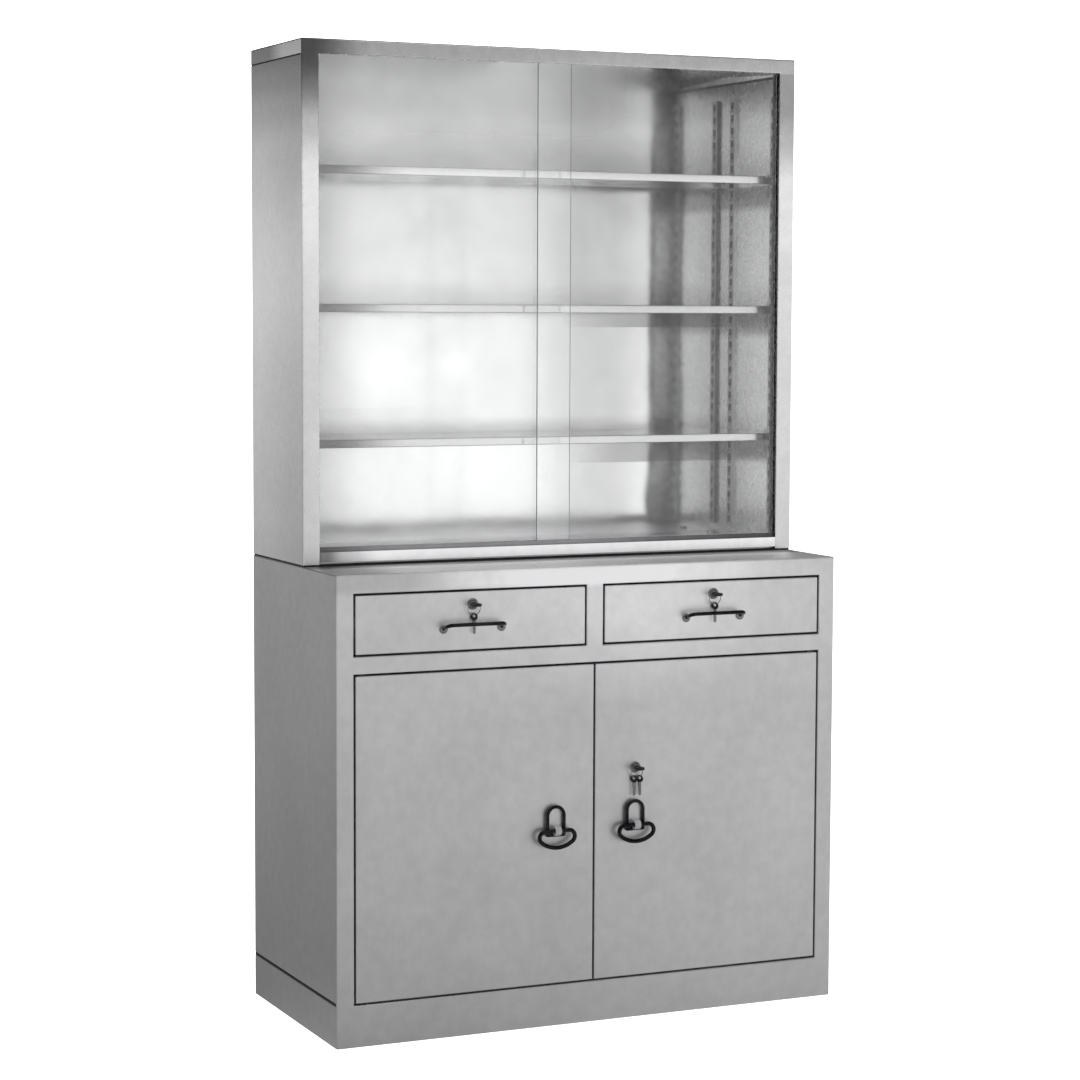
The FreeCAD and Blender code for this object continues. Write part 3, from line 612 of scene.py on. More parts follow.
def makeSteel(name, look):
    material, tree, shader = newFinish(name, look["light"], look["metal"], look["rough"][0])
    # The small and the large patches share the way from dark to light.
    patch, cloud = [useGroup(tree, softClouds, Size=size, Low=0.0, High=0.5) for size in look["patches"]]
    color = mix(patch + cloud, look["dark"], look["light"], "RGBA")
    rough = ramp(patch, 0.0, 0.5, *look["rough"])
    heights = []
    if look["grain"]:
        streak = useGroup(tree, grainStreaks, **grainScale)
        rough = ramp(streak, *streakRange, *look["rough"])
        heights.append(streak * look["grain"])
    if look["wave"]:
        height, size = look["wave"]
        heights.append(useGroup(tree, softClouds, Size=size, Low=0.0, High=height))
    # Painted light and shade as a share of the colour, where the finish has it
    if name in paintedLightTones:
        place = dict(zip("xyz", coordinates(tree)))
        scale = {0: color, "Scale": paintedLightTones[name](place, paintedLightLooks[name])}
        toned = out(addNode(tree, "ShaderNodeVectorMath", scale, operation="SCALE"))
        color = out(addNode(tree, "ShaderNodeVectorMath", {0: toned, 1: brightest}, operation="MINIMUM"))
        if name == "polishedSteel":
            rough = panelRough(rough, place, paintedLightLooks[name])
    setInputs(shader, {"Base Color": color, "Roughness": rough})
    if heights:
        height = heights[0] if len(heights) == 1 else heights[0] + heights[1]
        bump = addNode(tree, "ShaderNodeBump", {"Distance": 1.0, "Height": height})
        setInputs(shader, {"Normal": out(bump, "Normal")})
    return material


finishes = {name: makeSteel(name, look) for name, look in steelLooks.items()}

plasticLook = {"dark": (0.003, 0.003, 0.0033, 1.0), "light": (0.008, 0.008, 0.0085, 1.0), "rough": (0.42, 0.62),
               "patch": 0.008, "grain": 0.0012, "specular": 0.2}


def makePlastic(look):
    material, tree, shader = newFinish("blackPlastic", look["light"], 0.0, look["rough"][0])
    patch = useGroup(tree, softClouds, Size=look["patch"], Low=0.0, High=1.0)
    color = mix(patch, look["dark"], look["light"], "RGBA")
    rough = useGroup(tree, softClouds, Size=look["grain"], Low=look["rough"][0], High=look["rough"][1])
    setInputs(shader, {"Specular IOR Level": look["specular"], "Base Color": color, "Roughness": rough})
    return material


finishes["blackPlastic"] = makePlastic(plasticLook)

glassLook = {"color": (0.992, 0.995, 0.993, 1.0), "shade": (0.95, 0.955, 0.95, 1.0), "index": 1.5,
             "edge": (0.11, 0.13, 0.12, 1.0), "edgeRough": (0.25, 0.5), "edgePatch": 0.01}


def makeGlass(look):
    # Clear glass, which lets the lamp's light straight through.
    material, tree, shader = newFinish("clearGlass", look["color"], 0.0, 0.0)
    setInputs(shader, {"Transmission Weight": 1.0, "IOR": look["index"]})
    clear = addNode(tree, "ShaderNodeBsdfTransparent", {"Color": look["shade"]})
    path = addNode(tree, "ShaderNodeLightPath")
    both = addNode(tree, "ShaderNodeMixShader", {0: out(path, "Is Shadow Ray"), 1: out(shader), 2: out(clear)})
    setInputs(tree.nodes["Material Output"], {"Surface": out(both)})
    return material


def makeGlassEdge(look):
    # The ground edge reads as a dark line.
    low, high = look["edgeRough"]
    material, tree, shader = newFinish("glassEdge", look["edge"], 0.0, low)
    setInputs(shader, {"Roughness": useGroup(tree, softClouds, Size=look["edgePatch"], Low=low, High=high)})
    return material


finishes["clearGlass"] = makeGlass(glassLook)
finishes["glassEdge"] = makeGlassEdge(glassLook)
print("finishes made:", len(finishes))

slotFinishes = {
    "satin_steel": "satinSteel",
    "polished_steel": "polishedSteel",
    "zinc_steel": "zincSteel",
    "standard_steel": "standardSteel",
    "aluminium_track": "shadedAluminium",
    "clear_glass": "clearGlass",
    "chrome": "brightChrome",
    "key_nickel": "keyNickel",
    "brass_bush": "shadeDarkBrass",
    "black_plastic": "blackPlastic",
}

for part in frame["record"]["subparts"]:
    data = nodes[part["node"]].data
    data.materials.clear()
    data.materials.append(finishes[slotFinishes[part["material_slot"]]])
# The top track takes the painted light copy of the aluminium.
nodes["top_track"].data.materials[0] = finishes["litAluminium"]
nodes["upper_floor"].data.materials[0] = finishes["railSteel"]


# Folded sheet, made of plates. A plate lies where one coordinate is fixed, and faces the given side,
# 1 or -1. The ranges a and b are those of the other two coordinates, in their order.

def plate(axis, side, at, a, b, **more):
    return dict(axis=axis, side=side, at=at, a=a, b=b, **more)


def boxPlates(corners, sides):
    # The plates on the sides of a box that are named, such as "-x +z".
    plates = []
    for sign, axis in sides.split():
        at = "xyz".index(axis)
        a, b = [(corners[0][i], corners[1][i]) for i in range(3) if i != at]
        plates.append(plate(axis, 1 if sign == "+" else -1, corners[sign == "+"][at], a, b))
    return plates


def boxOf(node):
    lo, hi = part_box(node)
    return np.array(lo) / mm, np.array(hi) / mm


def plateAxes(flat):
    axis = "xyz".index(flat["axis"])
    return axis, [i for i in range(3) if i != axis]


def gridLines(plates):
    # Where the plates and their openings begin and end along each axis.
    lines = [set(), set(), set()]
    for flat in plates:
        axis, (across, along) = plateAxes(flat)
        lines[axis].add(flat["at"])
        for a0, a1, b0, b1 in [(*flat["a"], *flat["b"]), *flat.get("cut", ())]:
            lines[across].update((a0, a1))
            lines[along].update((b0, b1))
    return [np.array(sorted(line)) * mm for line in lines]


def inLines(lines, ends):
    return lines[(lines >= ends[0] - tiny) & (lines <= ends[1] + tiny)]


def plateCells(lines, flat):
    # The lines that fall in the plate's ranges divide it into four-sided cells, and the cells
    # inside its openings are left out.
    axis, (across, along) = plateAxes(flat)
    a = inLines(lines[across], flat["a"])
    b = inLines(lines[along], flat["b"])
    gridA, gridB = np.meshgrid(a, b, indexing="ij")
    points = np.full((gridA.size, 3), float(flat["at"]))
    points[:, across] = gridA.ravel()
    points[:, along] = gridB.ravel()
    i, j = np.meshgrid(np.arange(len(a) - 1), np.arange(len(b) - 1), indexing="ij")
    first = (i * len(b) + j).ravel()
    quads = np.stack([first, first + len(b), first + len(b) + 1, first + 1], axis=1)
    middle = points[quads].mean(axis=1)
    keep = np.ones(len(quads), bool)
    for a0, a1, b0, b1 in flat.get("cut", ()):
        inside = (middle[:, across] > a0) & (middle[:, across] < a1)
        keep &= ~(inside & (middle[:, along] > b0) & (middle[:, along] < b1))
    faces = quads[keep].tolist()
    if "hole" in flat:
        ring, fans = holeCells(flat["hole"], len(points))
        extra = np.full((len(ring), 3), float(flat["at"]))
        extra[:, [across, along]] = ring
        points = np.vstack([points, extra])
        faces += fans
    usual = -1 if axis == 1 else 1
    if flat["side"] != usual:
        faces = [face[::-1] for face in faces]
    return points, faces


def rectangle(x0, x1, y0, y1):
    return np.array([(x0, y0), (x1, y0), (x1, y1), (x0, y1)], dtype=float)


def arc(radius, turn, centre=(0.0, 0.0)):
    # Points on a circle at the given angles.
    return np.stack([centre[0] + radius * np.cos(turn), centre[1] + radius * np.sin(turn)], axis=1)


def holeCells(hole, start, quarter=8):
    # A square with a round hole: each corner of the square fans out to a quarter of the circle,
    # and a triangle fills each side between two fans.
    a, b, radius, half = hole
    step = np.arange(4 * quarter)
    circle = arc(radius, np.radians(-180 + step * 90 / quarter), (a, b))
    corners = rectangle(a - half, a + half, b - half, b + half)
    here = start + 4 + step
    after = start + 4 + (step + 1) % (4 * quarter)
    fans = np.stack([start + step // quarter, after, here], axis=1)
    corner = np.arange(4)
    following = (corner + 1) % 4
    sides = np.stack([start + corner, start + following, start + 4 + following * quarter], axis=1)
    return np.vstack([corners, circle]), fans.tolist() + sides.tolist()


def joined(parts):
    # All the points in one array, and the faces with their points' new numbers.
    starts = np.cumsum([0] + [len(points) for points, _ in parts[:-1]])
    faces = [[int(start) + i for i in face] for start, (_, cells) in zip(starts, parts) for face in cells]
    return np.vstack([points for points, _ in parts]), faces


def joinCells(parts):
    # Points that meet become one, so that the plates are one sheet.
    points, faces = joined(parts)
    keys, same = np.unique(np.round(points / tiny).astype(np.int64), axis=0, return_inverse=True)
    same = same.ravel()
    merged = np.zeros((len(keys), 3))
    merged[same] = points
    return merged, [[int(same[i]) for i in face] for face in faces]


def readArray(items, key, kind=float, width=1):
    values = np.empty(len(items) * width, kind)
    items.foreach_get(key, values)
    return values if width == 1 else values.reshape(-1, width)


def foldWeights(mesh, radii):
    # A fold is an edge whose two faces look different ways. One on the outline of the piece gets
    # the first radius, one round an opening the second, and one in an inner corner the third.
    loopEdge = readArray(mesh.loops, "edge_index", int)
    loopFace = np.repeat(np.arange(len(mesh.polygons)), readArray(mesh.polygons, "loop_total", int))
    normals = readArray(mesh.polygons, "normal", width=3)
    centres = readArray(mesh.polygons, "center", width=3)
    order = np.argsort(loopEdge, kind="stable")
    pairs = np.flatnonzero(loopEdge[order][1:] == loopEdge[order][:-1])
    edge = loopEdge[order][pairs]
    one = loopFace[order][pairs]
    two = loopFace[order][pairs + 1]
    folded = (normals[one] * normals[two]).sum(axis=1) < nearlyFlat
    bulging = ((centres[two] - centres[one]) * normals[one]).sum(axis=1) < -tiny
    places = readArray(mesh.vertices, "co", width=3)
    middle = places[readArray(mesh.edges, "vertices", int, 2)].mean(axis=1)[edge]
    onBox = (np.abs(middle - places.min(axis=0)) < tiny) | (np.abs(middle - places.max(axis=0)) < tiny)
    outline = onBox.sum(axis=1) >= 2
    size = np.where(bulging, np.where(outline, radii[0], radii[1]), radii[2])
    weights = np.zeros(len(mesh.edges), np.float32)
    weights[edge[folded]] = size[folded] / max(radii)
    return weights


def addObject(name, mesh, body, materials, replaced=()):
    piece = bpy.data.objects.new(name, mesh)
    scene.collection.objects.link(piece)
    for material in materials:
        mesh.materials.append(finishes[material])
    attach(piece, body)
    if replaced:
        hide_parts(*replaced)
    return piece


def smoothPiece(piece, angle=38.0):
    # Soft shading over bends, with the flats kept flat.
    mesh = piece.data
    mesh.polygons.foreach_set("use_smooth", np.ones(len(mesh.polygons), bool))
    mesh.set_sharp_from_angle(angle=math.radians(angle))
    weighted = piece.modifiers.new("flatShading", "WEIGHTED_NORMAL")
    weighted.keep_sharp = True
    return piece


def foldedSheet(name, plates, look, body, materials, replaced=()):
    # Plates joined into one sheet, its folds rounded and its thickness laid on the inside.
    lines = gridLines(plates)
    cells = []
    for flat in plates:
        lengths = {key: np.multiply(flat[key], mm) for key in ("at", "a", "b", "cut", "hole") if key in flat}
        cells.append(plateCells(lines, dict(flat, **lengths)))
    points, faces = joinCells(cells)
    mesh = bpy.data.meshes.new(name + "Cells")
    mesh.from_pydata(points.tolist(), [], faces)
    radii = [r * mm for r in look["radii"]]
    weights = foldWeights(mesh, radii)
    mesh.attributes.new("bevel_weight_edge", "FLOAT", "EDGE").data.foreach_set("value", weights)
    for _ in materials:
        mesh.materials.append(None)
    plain = bpy.data.objects.new(name + "Cells", mesh)
    scene.collection.objects.link(plain)
    bend = plain.modifiers.new("bends", "BEVEL")
    bend.limit_method = "WEIGHT"
    bend.width = max(radii)
    bend.segments = look["steps"]
    bend.use_clamp_overlap = False
    # The bends take the last finish, which on the lower case and the pans is the painted highlight
    bend.material = len(materials) - 1
    wall = plain.modifiers.new("wall", "SOLIDIFY")
    wall.thickness = look["sheet"] * mm
    wall.offset = -1.0
    wall.use_even_offset = True
    view = bpy.context.evaluated_depsgraph_get()
    final = bpy.data.meshes.new_from_object(plain.evaluated_get(view))
    final.name = name
    final.materials.clear()
    bpy.data.objects.remove(plain)
    return smoothPiece(addObject(name, final, body, materials, replaced))


def sidePlates(corners, look, seam, flangeEnds):
    # Both sides, each with a slot for its seam and a flange folded round its back edge.
    (left, front, bottom), (right, back, top) = corners
    flange = look["backFlange"]
    slot = (front + look["slotStart"], back, *seam)
    plates = []
    for at, side, edge in ((left, -1, (left, left + flange)), (right, 1, (right - flange, right))):
        plates.append(plate("x", side, at, (front, back), (bottom, top), cut=[slot]))
        plates.append(plate("y", 1, back, edge, flangeEnds))
    return plates


# The lower case: face frame, sides, worktop and plinth in one skin
lowerLook = {"sheet": 1.2, "radii": (3.2, 2.4, 0.0), "steps": 5, "slotStart": 4.0, "backFlange": 15.0,
             "seam": 2.4}


def buildLowerCase(look):
    (left, front, drawerTop), (right, back, top) = boxOf("worktop")
    _, (inner, depth, _) = boxOf("left_stile")
    (_, _, railLow), (_, railBack, railTop) = boxOf("middle_rail")
    plinthTop = boxOf("base_rail")[1][2]
    sideLow = boxOf("left_lower_side")[0][2] + look["seam"]
    half = boxOf("drawer_partition")[1][0]
    openings = [(inner, -half, railTop, drawerTop), (half, -inner, railTop, drawerTop),
                (inner, -inner, plinthTop, railLow)]
    plates = [plate("y", -1, front, (left, right), (0.0, top), cut=openings)]
    for x0, x1, z0, z1 in openings:
        # The middle rail reaches further back than the rest of the frame.
        low, high = (railBack, depth) if z0 == railTop else (depth, railBack)
        plates += [
            plate("x", 1, x0, (front, depth), (z0, z1)),
            plate("x", -1, x1, (front, depth), (z0, z1)),
            plate("z", 1, z0, (x0, x1), (front, low)),
            plate("z", -1, z1, (x0, x1), (front, high)),
        ]
    corners = (left, front, 0.0), (right, back, top)
    plates += sidePlates(corners, look, (plinthTop, sideLow), (sideLow, top))
    plates.append(plate("y", 1, back, (left, right), (0.0, plinthTop)))
    plates.append(plate("z", 1, top, (left, right), (front, back)))
    foldedSheet("lowerCase", plates, look, "cabinet", ("satinSteel", "bendHighlightSteel"),
                ("left_stile", "right_stile", "base_rail", "middle_rail", "left_lower_side", "right_lower_side",
                 "worktop", "plinth", "drawer_partition"))


buildLowerCase(lowerLook)


# The upper case: face frame, sides and cap in one skin
upperLook = {"sheet": 1.2, "radii": (3.2, 2.2, 0.0), "steps": 5, "slotStart": 4.0, "backFlange": 15.0,
             "hem": 6.0, "seam": 3.0}


def buildUpperCase(look):
    (left, front, _), (right, back, top) = boxOf("upper_top")
    (_, _, low), (inner, depth, under) = boxOf("left_upper_stile")
    sideTop = under - look["seam"]
    opening = (inner, -inner, low - 1, under)  # it goes on past the lower edge
    plates = [
        plate("y", -1, front, (left, right), (low, top), cut=[opening]),
        plate("x", 1, inner, (front, depth), (low, under)),
        plate("x", -1, -inner, (front, depth), (low, under)),
        plate("z", -1, under, (inner, -inner), (front, front + look["hem"])),
        plate("z", 1, top, (left, right), (front, back)),
        plate("y", 1, back, (left, right), (under, top)),
    ]
    plates += sidePlates(((left, front, low), (right, back, top)), look, (sideTop, under), (low, sideTop))
    foldedSheet("upperCase", plates, look, "cabinet", ("upperSteel", "upperSteel"),
                ("left_upper_stile", "right_upper_stile", "left_upper_side", "right_upper_side", "upper_top"))


buildUpperCase(upperLook)
print("cases built")


# The beam between the drawers
beamLook = {"sheet": 1.2, "radii": (1.6, 1.0, 0.0), "steps": 3}


def buildBeam(look):
    low, high = boxOf("drawer_partition")
    low[1] = boxOf("left_stile")[1][1]
    foldedSheet("drawerBeam", boxPlates((low, high), "-x +x +z -z"), look, "cabinet",
                ("satinSteel",), ("drawer_partition",))


buildBeam(beamLook)

# Drawer fronts and doors: folded pans, with a gap above and below a door
panLook = {"sheet": 1.1, "radii": (2.0, 1.0, 0.0), "steps": 4, "gap": 3.5, "hole": 8.6, "square": 11.0}
doorLow = boxOf("base_rail")[1][2] + panLook["gap"]
doorHigh = boxOf("middle_rail")[0][2] - panLook["gap"]


def lockPlace(node):
    lo, hi = boxOf(node)
    return (lo[0] + hi[0]) / 2, (lo[2] + hi[2]) / 2


def frontPlate(corners, lock, look):
    # The front of a pan, with a round hole for the lock if it has one.
    front = boxPlates(corners, "-y")
    if lock:
        hx, hz = lockPlace(lock)
        half = look["square"]
        front[0].update(cut=[(hx - half, hx + half, hz - half, hz + half)], hole=(hx, hz, look["hole"], half))
    return front


def buildPan(name, corners, lock, look, body, replaced):
    plates = frontPlate(corners, lock, look) + boxPlates(corners, "-x +x -z +z")
    foldedSheet(name, plates, look, body, ("satinSteel", "bendHighlightSteel"), replaced)


for side in ("left", "right"):
    drawer = side + "_drawer"
    buildPan(side + "DrawerFront", boxOf(drawer + "_front"), drawer + "_lock", panLook, drawer,
             (drawer + "_front",))
    low, high = boxOf(side + "_door_panel")
    low[2], high[2] = doorLow, doorHigh
    buildPan(side + "DoorPanel", (low, high), "door_lock" if side == "right" else None, panLook,
             side + "_door", (side + "_door_panel",))
print("drawer fronts and doors built")

# Drawer boxes, with a lip round the top
trayLook = {"sheet": 1.0, "radii": (1.4, 0.8, 0.0), "steps": 3, "hole": 8.6, "square": 11.0, "lip": 5.0}


def buildTray(side, look):
    drawer = side + "_drawer"
    corners = boxOf(drawer + "_box")
    (x0, y0, _), (x1, y1, _) = corners
    lip = look["lip"]
    plates = frontPlate(corners, drawer + "_lock", look) + boxPlates(corners, "-x +x +y -z +z")
    plates[-1]["cut"] = [(x0 + lip, x1 - lip, y0, y1 - lip)]
    foldedSheet(side + "DrawerTray", plates, look, drawer, ("satinSteel",), (drawer + "_box",))


# Shelves, folded down at the front and back and hemmed below
shelfLook = {"sheet": 1.2, "radii": (1.7, 1.0, 0.0), "steps": 4, "hem": 9.0}


def buildShelf(node, look):
    corners = boxOf(node)
    (x0, y0, z0), (x1, y1, _) = corners
    hem = look["hem"]
    plates = boxPlates(corners, "+z -y +y")
    plates += [plate("z", -1, z0, (x0, x1), ends) for ends in ((y0, y0 + hem), (y1 - hem, y1))]
    name = node.split("_")[0] + "Shelf"
    foldedSheet(name, plates, look, "cabinet", ("shelfSteel",), (node,))


for side in ("left", "right"):
    buildTray(side, trayLook)
for shelfNode in ("low_shelf", "middle_shelf", "high_shelf", "lower_shelf"):
    buildShelf(shelfNode, shelfLook)
print("trays and shelves built")


# Solid shapes

def gridFaces(rows, columns, closedRows=False):
    # Four-sided faces of a grid of points whose rows are closed and follow one another.
    i, j = np.meshgrid(np.arange(rows if closedRows else rows - 1), np.arange(columns), indexing="ij")
    here, after = i * columns, (i + 1) % rows * columns
    right = (j + 1) % columns
    return np.stack([here + j, here + right, after + right, after + j], axis=-1).reshape(-1, 4).tolist()


def endFaces(rows, columns):
    last = (rows - 1) * columns
    return [list(range(columns)), list(range(last, last + columns))]


def tube(path, radius, across, steps=24, closed=False):
    # A circle carried along a flat path: path + radius * (cos * side + sin * across).
    path = np.asarray(path, float)
    if closed:
        ahead = np.roll(path, -1, axis=0) - np.roll(path, 1, axis=0)
    else:
        ahead = np.gradient(path, axis=0)
    ahead /= np.linalg.norm(ahead, axis=1, keepdims=True)
    across = np.asarray(across, float)
    side = np.cross(across, ahead)
    turn = np.linspace(0, 2 * np.pi, steps, endpoint=False)
    ring = np.cos(turn)[None, :, None] * side[:, None, :] + np.sin(turn)[None, :, None] * across
    points = (path[:, None, :] + radius * ring).reshape(-1, 3)
    return points, gridFaces(len(path), steps, closed) + ([] if closed else endFaces(len(path), steps))


def turned(profile, centre, axis="y", steps=32):
    # A profile of (radius, along) carried round an axis through the centre.
    profile = np.asarray(profile, float)
    turn = np.linspace(0, 2 * np.pi, steps, endpoint=False)
    radius, along = profile[:, :1], profile[:, 1:]
    one, two = radius * np.cos(turn), radius * np.sin(turn)
    along = np.broadcast_to(along, one.shape)
    order = {"y": (one, along, two), "z": (one, two, along)}[axis]
    points = np.stack(order, axis=-1).reshape(-1, 3) + np.asarray(centre, float)
    return points, gridFaces(len(profile), steps)


def outlineOffset(outline, distance, sharpest=0.3):
    # Each point moves outwards by the distance from both of the sides that meet there.
    before = outline - np.roll(outline, 1, axis=0)
    after = np.roll(outline, -1, axis=0) - outline
    normals = [np.stack([way[:, 1], -way[:, 0]], axis=1) / np.linalg.norm(way, axis=1, keepdims=True)
               for way in (before, after)]
    middle = normals[0] + normals[1]
    middle /= np.maximum((middle * normals[0]).sum(axis=1, keepdims=True), sharpest)
    return outline + distance * middle


def flatPlate(outline, thickness, edge, hole=None, steps=3):
    # A profile carried round an outline, counterclockwise: up the wall, with rounded corners, and
    # down the hole's wall if there is one. The outline lies in the first two coordinates.
    turn = np.linspace(0, np.pi / 2, steps + 1)
    inward = edge * (1 - np.sin(turn))
    height = edge * (1 - np.cos(turn))
    inset = np.concatenate([inward, inward[::-1]])
    level = np.concatenate([height, thickness - height[::-1]])
    loops = [outlineOffset(outline, -a) for a in inset]
    levels = list(level)
    if hole is not None:
        loops += [outlineOffset(hole, a) for a in inset[::-1]]
        levels += list(level[::-1])
    count = len(outline)
    points = np.concatenate([np.column_stack([loop, np.full(count, h)]) for loop, h in zip(loops, levels)])
    faces = gridFaces(len(loops), count, hole is not None)
    return points, faces + (endFaces(len(loops), count) if hole is None else [])


def moved(shape, origin, first, second):
    # The shape's first two coordinates go along the given directions from the origin.
    points, faces = shape
    first, second = np.asarray(first, float), np.asarray(second, float)
    basis = np.stack([first, second, np.cross(first, second)])
    return points @ basis + np.asarray(origin, float), faces


def circle(radius, steps=36):
    return arc(radius, np.linspace(0, 2 * np.pi, steps, endpoint=False))


def holeIn(outline, radius, centre=(0.0, 0.0)):
    # A round hole whose points lie at the same angles as the outline's.
    return arc(radius, np.arctan2(outline[:, 1] - centre[1], outline[:, 0] - centre[0]), centre)


def solidPiece(name, shapes, body, material, replaced=(), angle=38.0):
    # Closed shapes, in millimetres, as one piece.
    points, faces = joined(shapes)
    mesh = bpy.data.meshes.new(name)
    mesh.from_pydata((points * mm).tolist(), [], faces)
    work = bmesh.new()
    work.from_mesh(mesh)
    bmesh.ops.remove_doubles(work, verts=work.verts, dist=tiny / 20)
    bmesh.ops.recalc_face_normals(work, faces=work.faces)
    work.to_mesh(mesh)
    work.free()
    return smoothPiece(addObject(name, mesh, body, (material,), replaced), angle)


# Bow handles on the drawers. A foot's profile is how far it is inside the radius, and how far out.
handleLook = {"span": 112.0, "rise": 9.0, "reach": 24.0, "bend": 11.0, "bar": 3.5, "foot": 8.0, "steps": 12,
              "sink": 0.5, "straight": 4.0, "flat": 0.3,
              "profile": [(0.4, 0), (0, 0.4), (0, 1.6), (0.5, 2.4), (1.6, 3.0), (3.4, 3.1)], "thick": 3.1}


def buildHandle(side, look):
    node = side + "_drawer_handle"
    (x0, y0, z0), (x1, y1, z1) = boxOf(node)
    wide, bend, r = look["span"] / 2, look["bend"], look["foot"]
    middle, base = (x0 + x1) / 2, z0 + r
    length = math.hypot(look["reach"], look["rise"])
    outward = np.array([0.0, -look["reach"], look["rise"]]) / length
    # Half of the bar: straight out, round the bend and along to the middle part
    turn = np.linspace(0, np.pi / 2, look["steps"])
    along = np.concatenate([[-wide, -wide], -wide + bend * (1 - np.cos(turn)), [-wide * look["flat"]]])
    away = np.concatenate([[-look["sink"], look["straight"]], length - bend + bend * np.sin(turn), [length]])
    along, away = np.concatenate([along, -along[::-1]]), np.concatenate([away, away[::-1]])
    path = np.array([middle, y1, base]) + along[:, None] * np.array([1.0, 0, 0]) + away[:, None] * outward
    bar = tube(path, look["bar"], np.cross(outward, [1.0, 0, 0]))
    profile = [(0, 0), *[(r - inside, -height) for inside, height in look["profile"]], (0, -look["thick"])]
    feet = [turned(profile, (middle + s * wide, y1, base)) for s in (-1, 1)]
    solidPiece(side + "HandleBar", [bar], side + "_drawer", "darkReflectionChrome", (node,), 60.0)
    solidPiece(side + "HandleFeet", feet, side + "_drawer", "smokedSteel", (node,))


for side in ("left", "right"):
    buildHandle(side, handleLook)


# Door pulls: a raised arch with a lug, and the ring that swings in it
pullLook = {"wide": 39.0, "high": 58.0, "rim": 6.5, "rimHeight": 9.0, "edge": 1.8, "corner": 4.0,
            "web": 3.0, "webOver": 1.0, "webEdge": 0.2,
            "lug": 12.0, "lugRadius": 9.0, "lugFlat": 0.5, "lugGap": 0.2, "lugEdge": 1.2, "play": 0.4,
            "bar": 4.0, "axisHeight": 12.0, "axisReach": 13.5, "top": 23.5, "ringCorner": 11.5, "drop": 31.0}


def archOutline(radius, bottom, spring, look, steps=48):
    # Counterclockwise: round the half circle, down the left side, along the bottom and up.
    arch = arc(radius, np.linspace(0, np.pi, steps), (0.0, spring))
    c = min(radius, look["corner"])
    swing = np.linspace(np.pi, 1.5 * np.pi, 8)
    left = arc(c, swing, (-radius + c, bottom + c))
    right = arc(c, swing + np.pi / 2, (radius - c, bottom + c))
    return np.vstack([arch, left, right])


def buildPullMount(side, look):
    node = side + "_pull_mount"
    (x0, y0, z0), (x1, y1, z1) = boxOf(node)
    middle, radius, inset, over = (x0 + x1) / 2, look["wide"] / 2, look["rim"], look["webOver"]
    spring = look["high"] - radius
    outer = archOutline(radius, 0.0, spring, look)
    inner = archOutline(radius - inset, inset, spring, look)
    web = archOutline(radius - inset + over, inset - over, spring, look)
    front = {"origin": (middle, y1, z0), "first": (1, 0, 0), "second": (0, 0, 1)}
    rim = moved(flatPlate(outer, look["rimHeight"], look["edge"], inner), **front)
    back = moved(flatPlate(web, look["web"], look["webEdge"]), **front)
    # The lug, seen from the side: a half circle round the bar and straight back to the door
    r, reach, gap = look["lugRadius"], look["axisReach"], look["lugGap"]
    turn = np.linspace(-np.pi / 2, np.pi / 2, 25)
    nose = np.stack([reach + (r - look["lugFlat"]) * np.cos(turn), r * np.sin(turn)], axis=1)
    profile = np.vstack([nose, [[gap, r], [gap, 0.0], [gap, -r]]])
    hole = holeIn(profile, look["bar"] + look["play"], (reach, 0.0))
    lug = flatPlate(profile, look["lug"], look["lugEdge"], hole)
    lug = moved(lug, (middle + look["lug"] / 2, y1, z0 + look["axisHeight"]), (0, -1, 0), (0, 0, 1))
    for title, shape, finish in (("PullRim", rim, "darkReflectionChrome"), ("PullPlate", back, "satinSteel"),
                                 ("PullLug", lug, "castSteel")):
        solidPiece(side + title, [shape], side + "_door", finish, (node,))


def ringPath(look):
    # A straight top, two tight corners and a wide arc below, each tangent to the next.
    top, corner = look["top"], look["ringCorner"]
    fall = look["drop"] - corner
    wide = (fall ** 2 + top ** 2 - corner ** 2) / (2 * (fall - corner))
    centre = wide - look["drop"]
    lean = math.atan2(top, centre + corner)
    turn = np.linspace(0, math.pi - lean, 24)
    right = np.stack([top + corner * np.sin(turn), corner * (np.cos(turn) - 1)], axis=1)
    sweep = np.linspace(lean, -lean, 40)[1:-1]
    below = np.stack([wide * np.sin(sweep), centre - wide * np.cos(sweep)], axis=1)
    left = right[::-1] * np.array([-1.0, 1.0])
    along = np.linspace(-top, top, 8)[1:-1]
    straight = np.stack([along, np.zeros_like(along)], axis=1)
    return np.vstack([right, below, left, straight])


def buildPullRing(side, look):
    node = side + "_pull_ring"
    (x0, y0, z0), (x1, y1, z1) = boxOf(node)
    flat = ringPath(look)
    path = np.column_stack([(x0 + x1) / 2 + flat[:, 0], np.full(len(flat), (y0 + y1) / 2),
                            z1 - look["bar"] + flat[:, 1]])
    shape = tube(path, look["bar"], (0, 1, 0), closed=True)
    solidPiece(side + "PullRing", [shape], side + "_pull", "darkReflectionChrome", (node,), 60.0)


# Pivot pins at the top and bottom of each door
pinLook = {"radius": 3.0, "fromEdge": 14.0, "fromFront": 8.0, "root": 12.0, "length": 9.0, "round": 0.8}


def buildPins(side, look):
    (x0, y0, _), (x1, _, _) = boxOf(side + "_door_panel")
    x = x0 + look["fromEdge"] if side == "left" else x1 - look["fromEdge"]
    y = y0 + look["fromFront"]
    r, c = look["radius"], look["round"]
    reach = panLook["gap"] + look["length"]
    profile = np.array([(0, 0), (r - c, 0), (r, c), (r, reach + look["root"]), (0, reach + look["root"])])
    shapes = [turned(profile, (x, y, doorLow - reach), "z", 24),
              turned(profile * (1, -1), (x, y, doorHigh + reach), "z", 24)]
    solidPiece(side + "DoorPins", shapes, side + "_door", "satinSteel", (side + "_door_panel",))


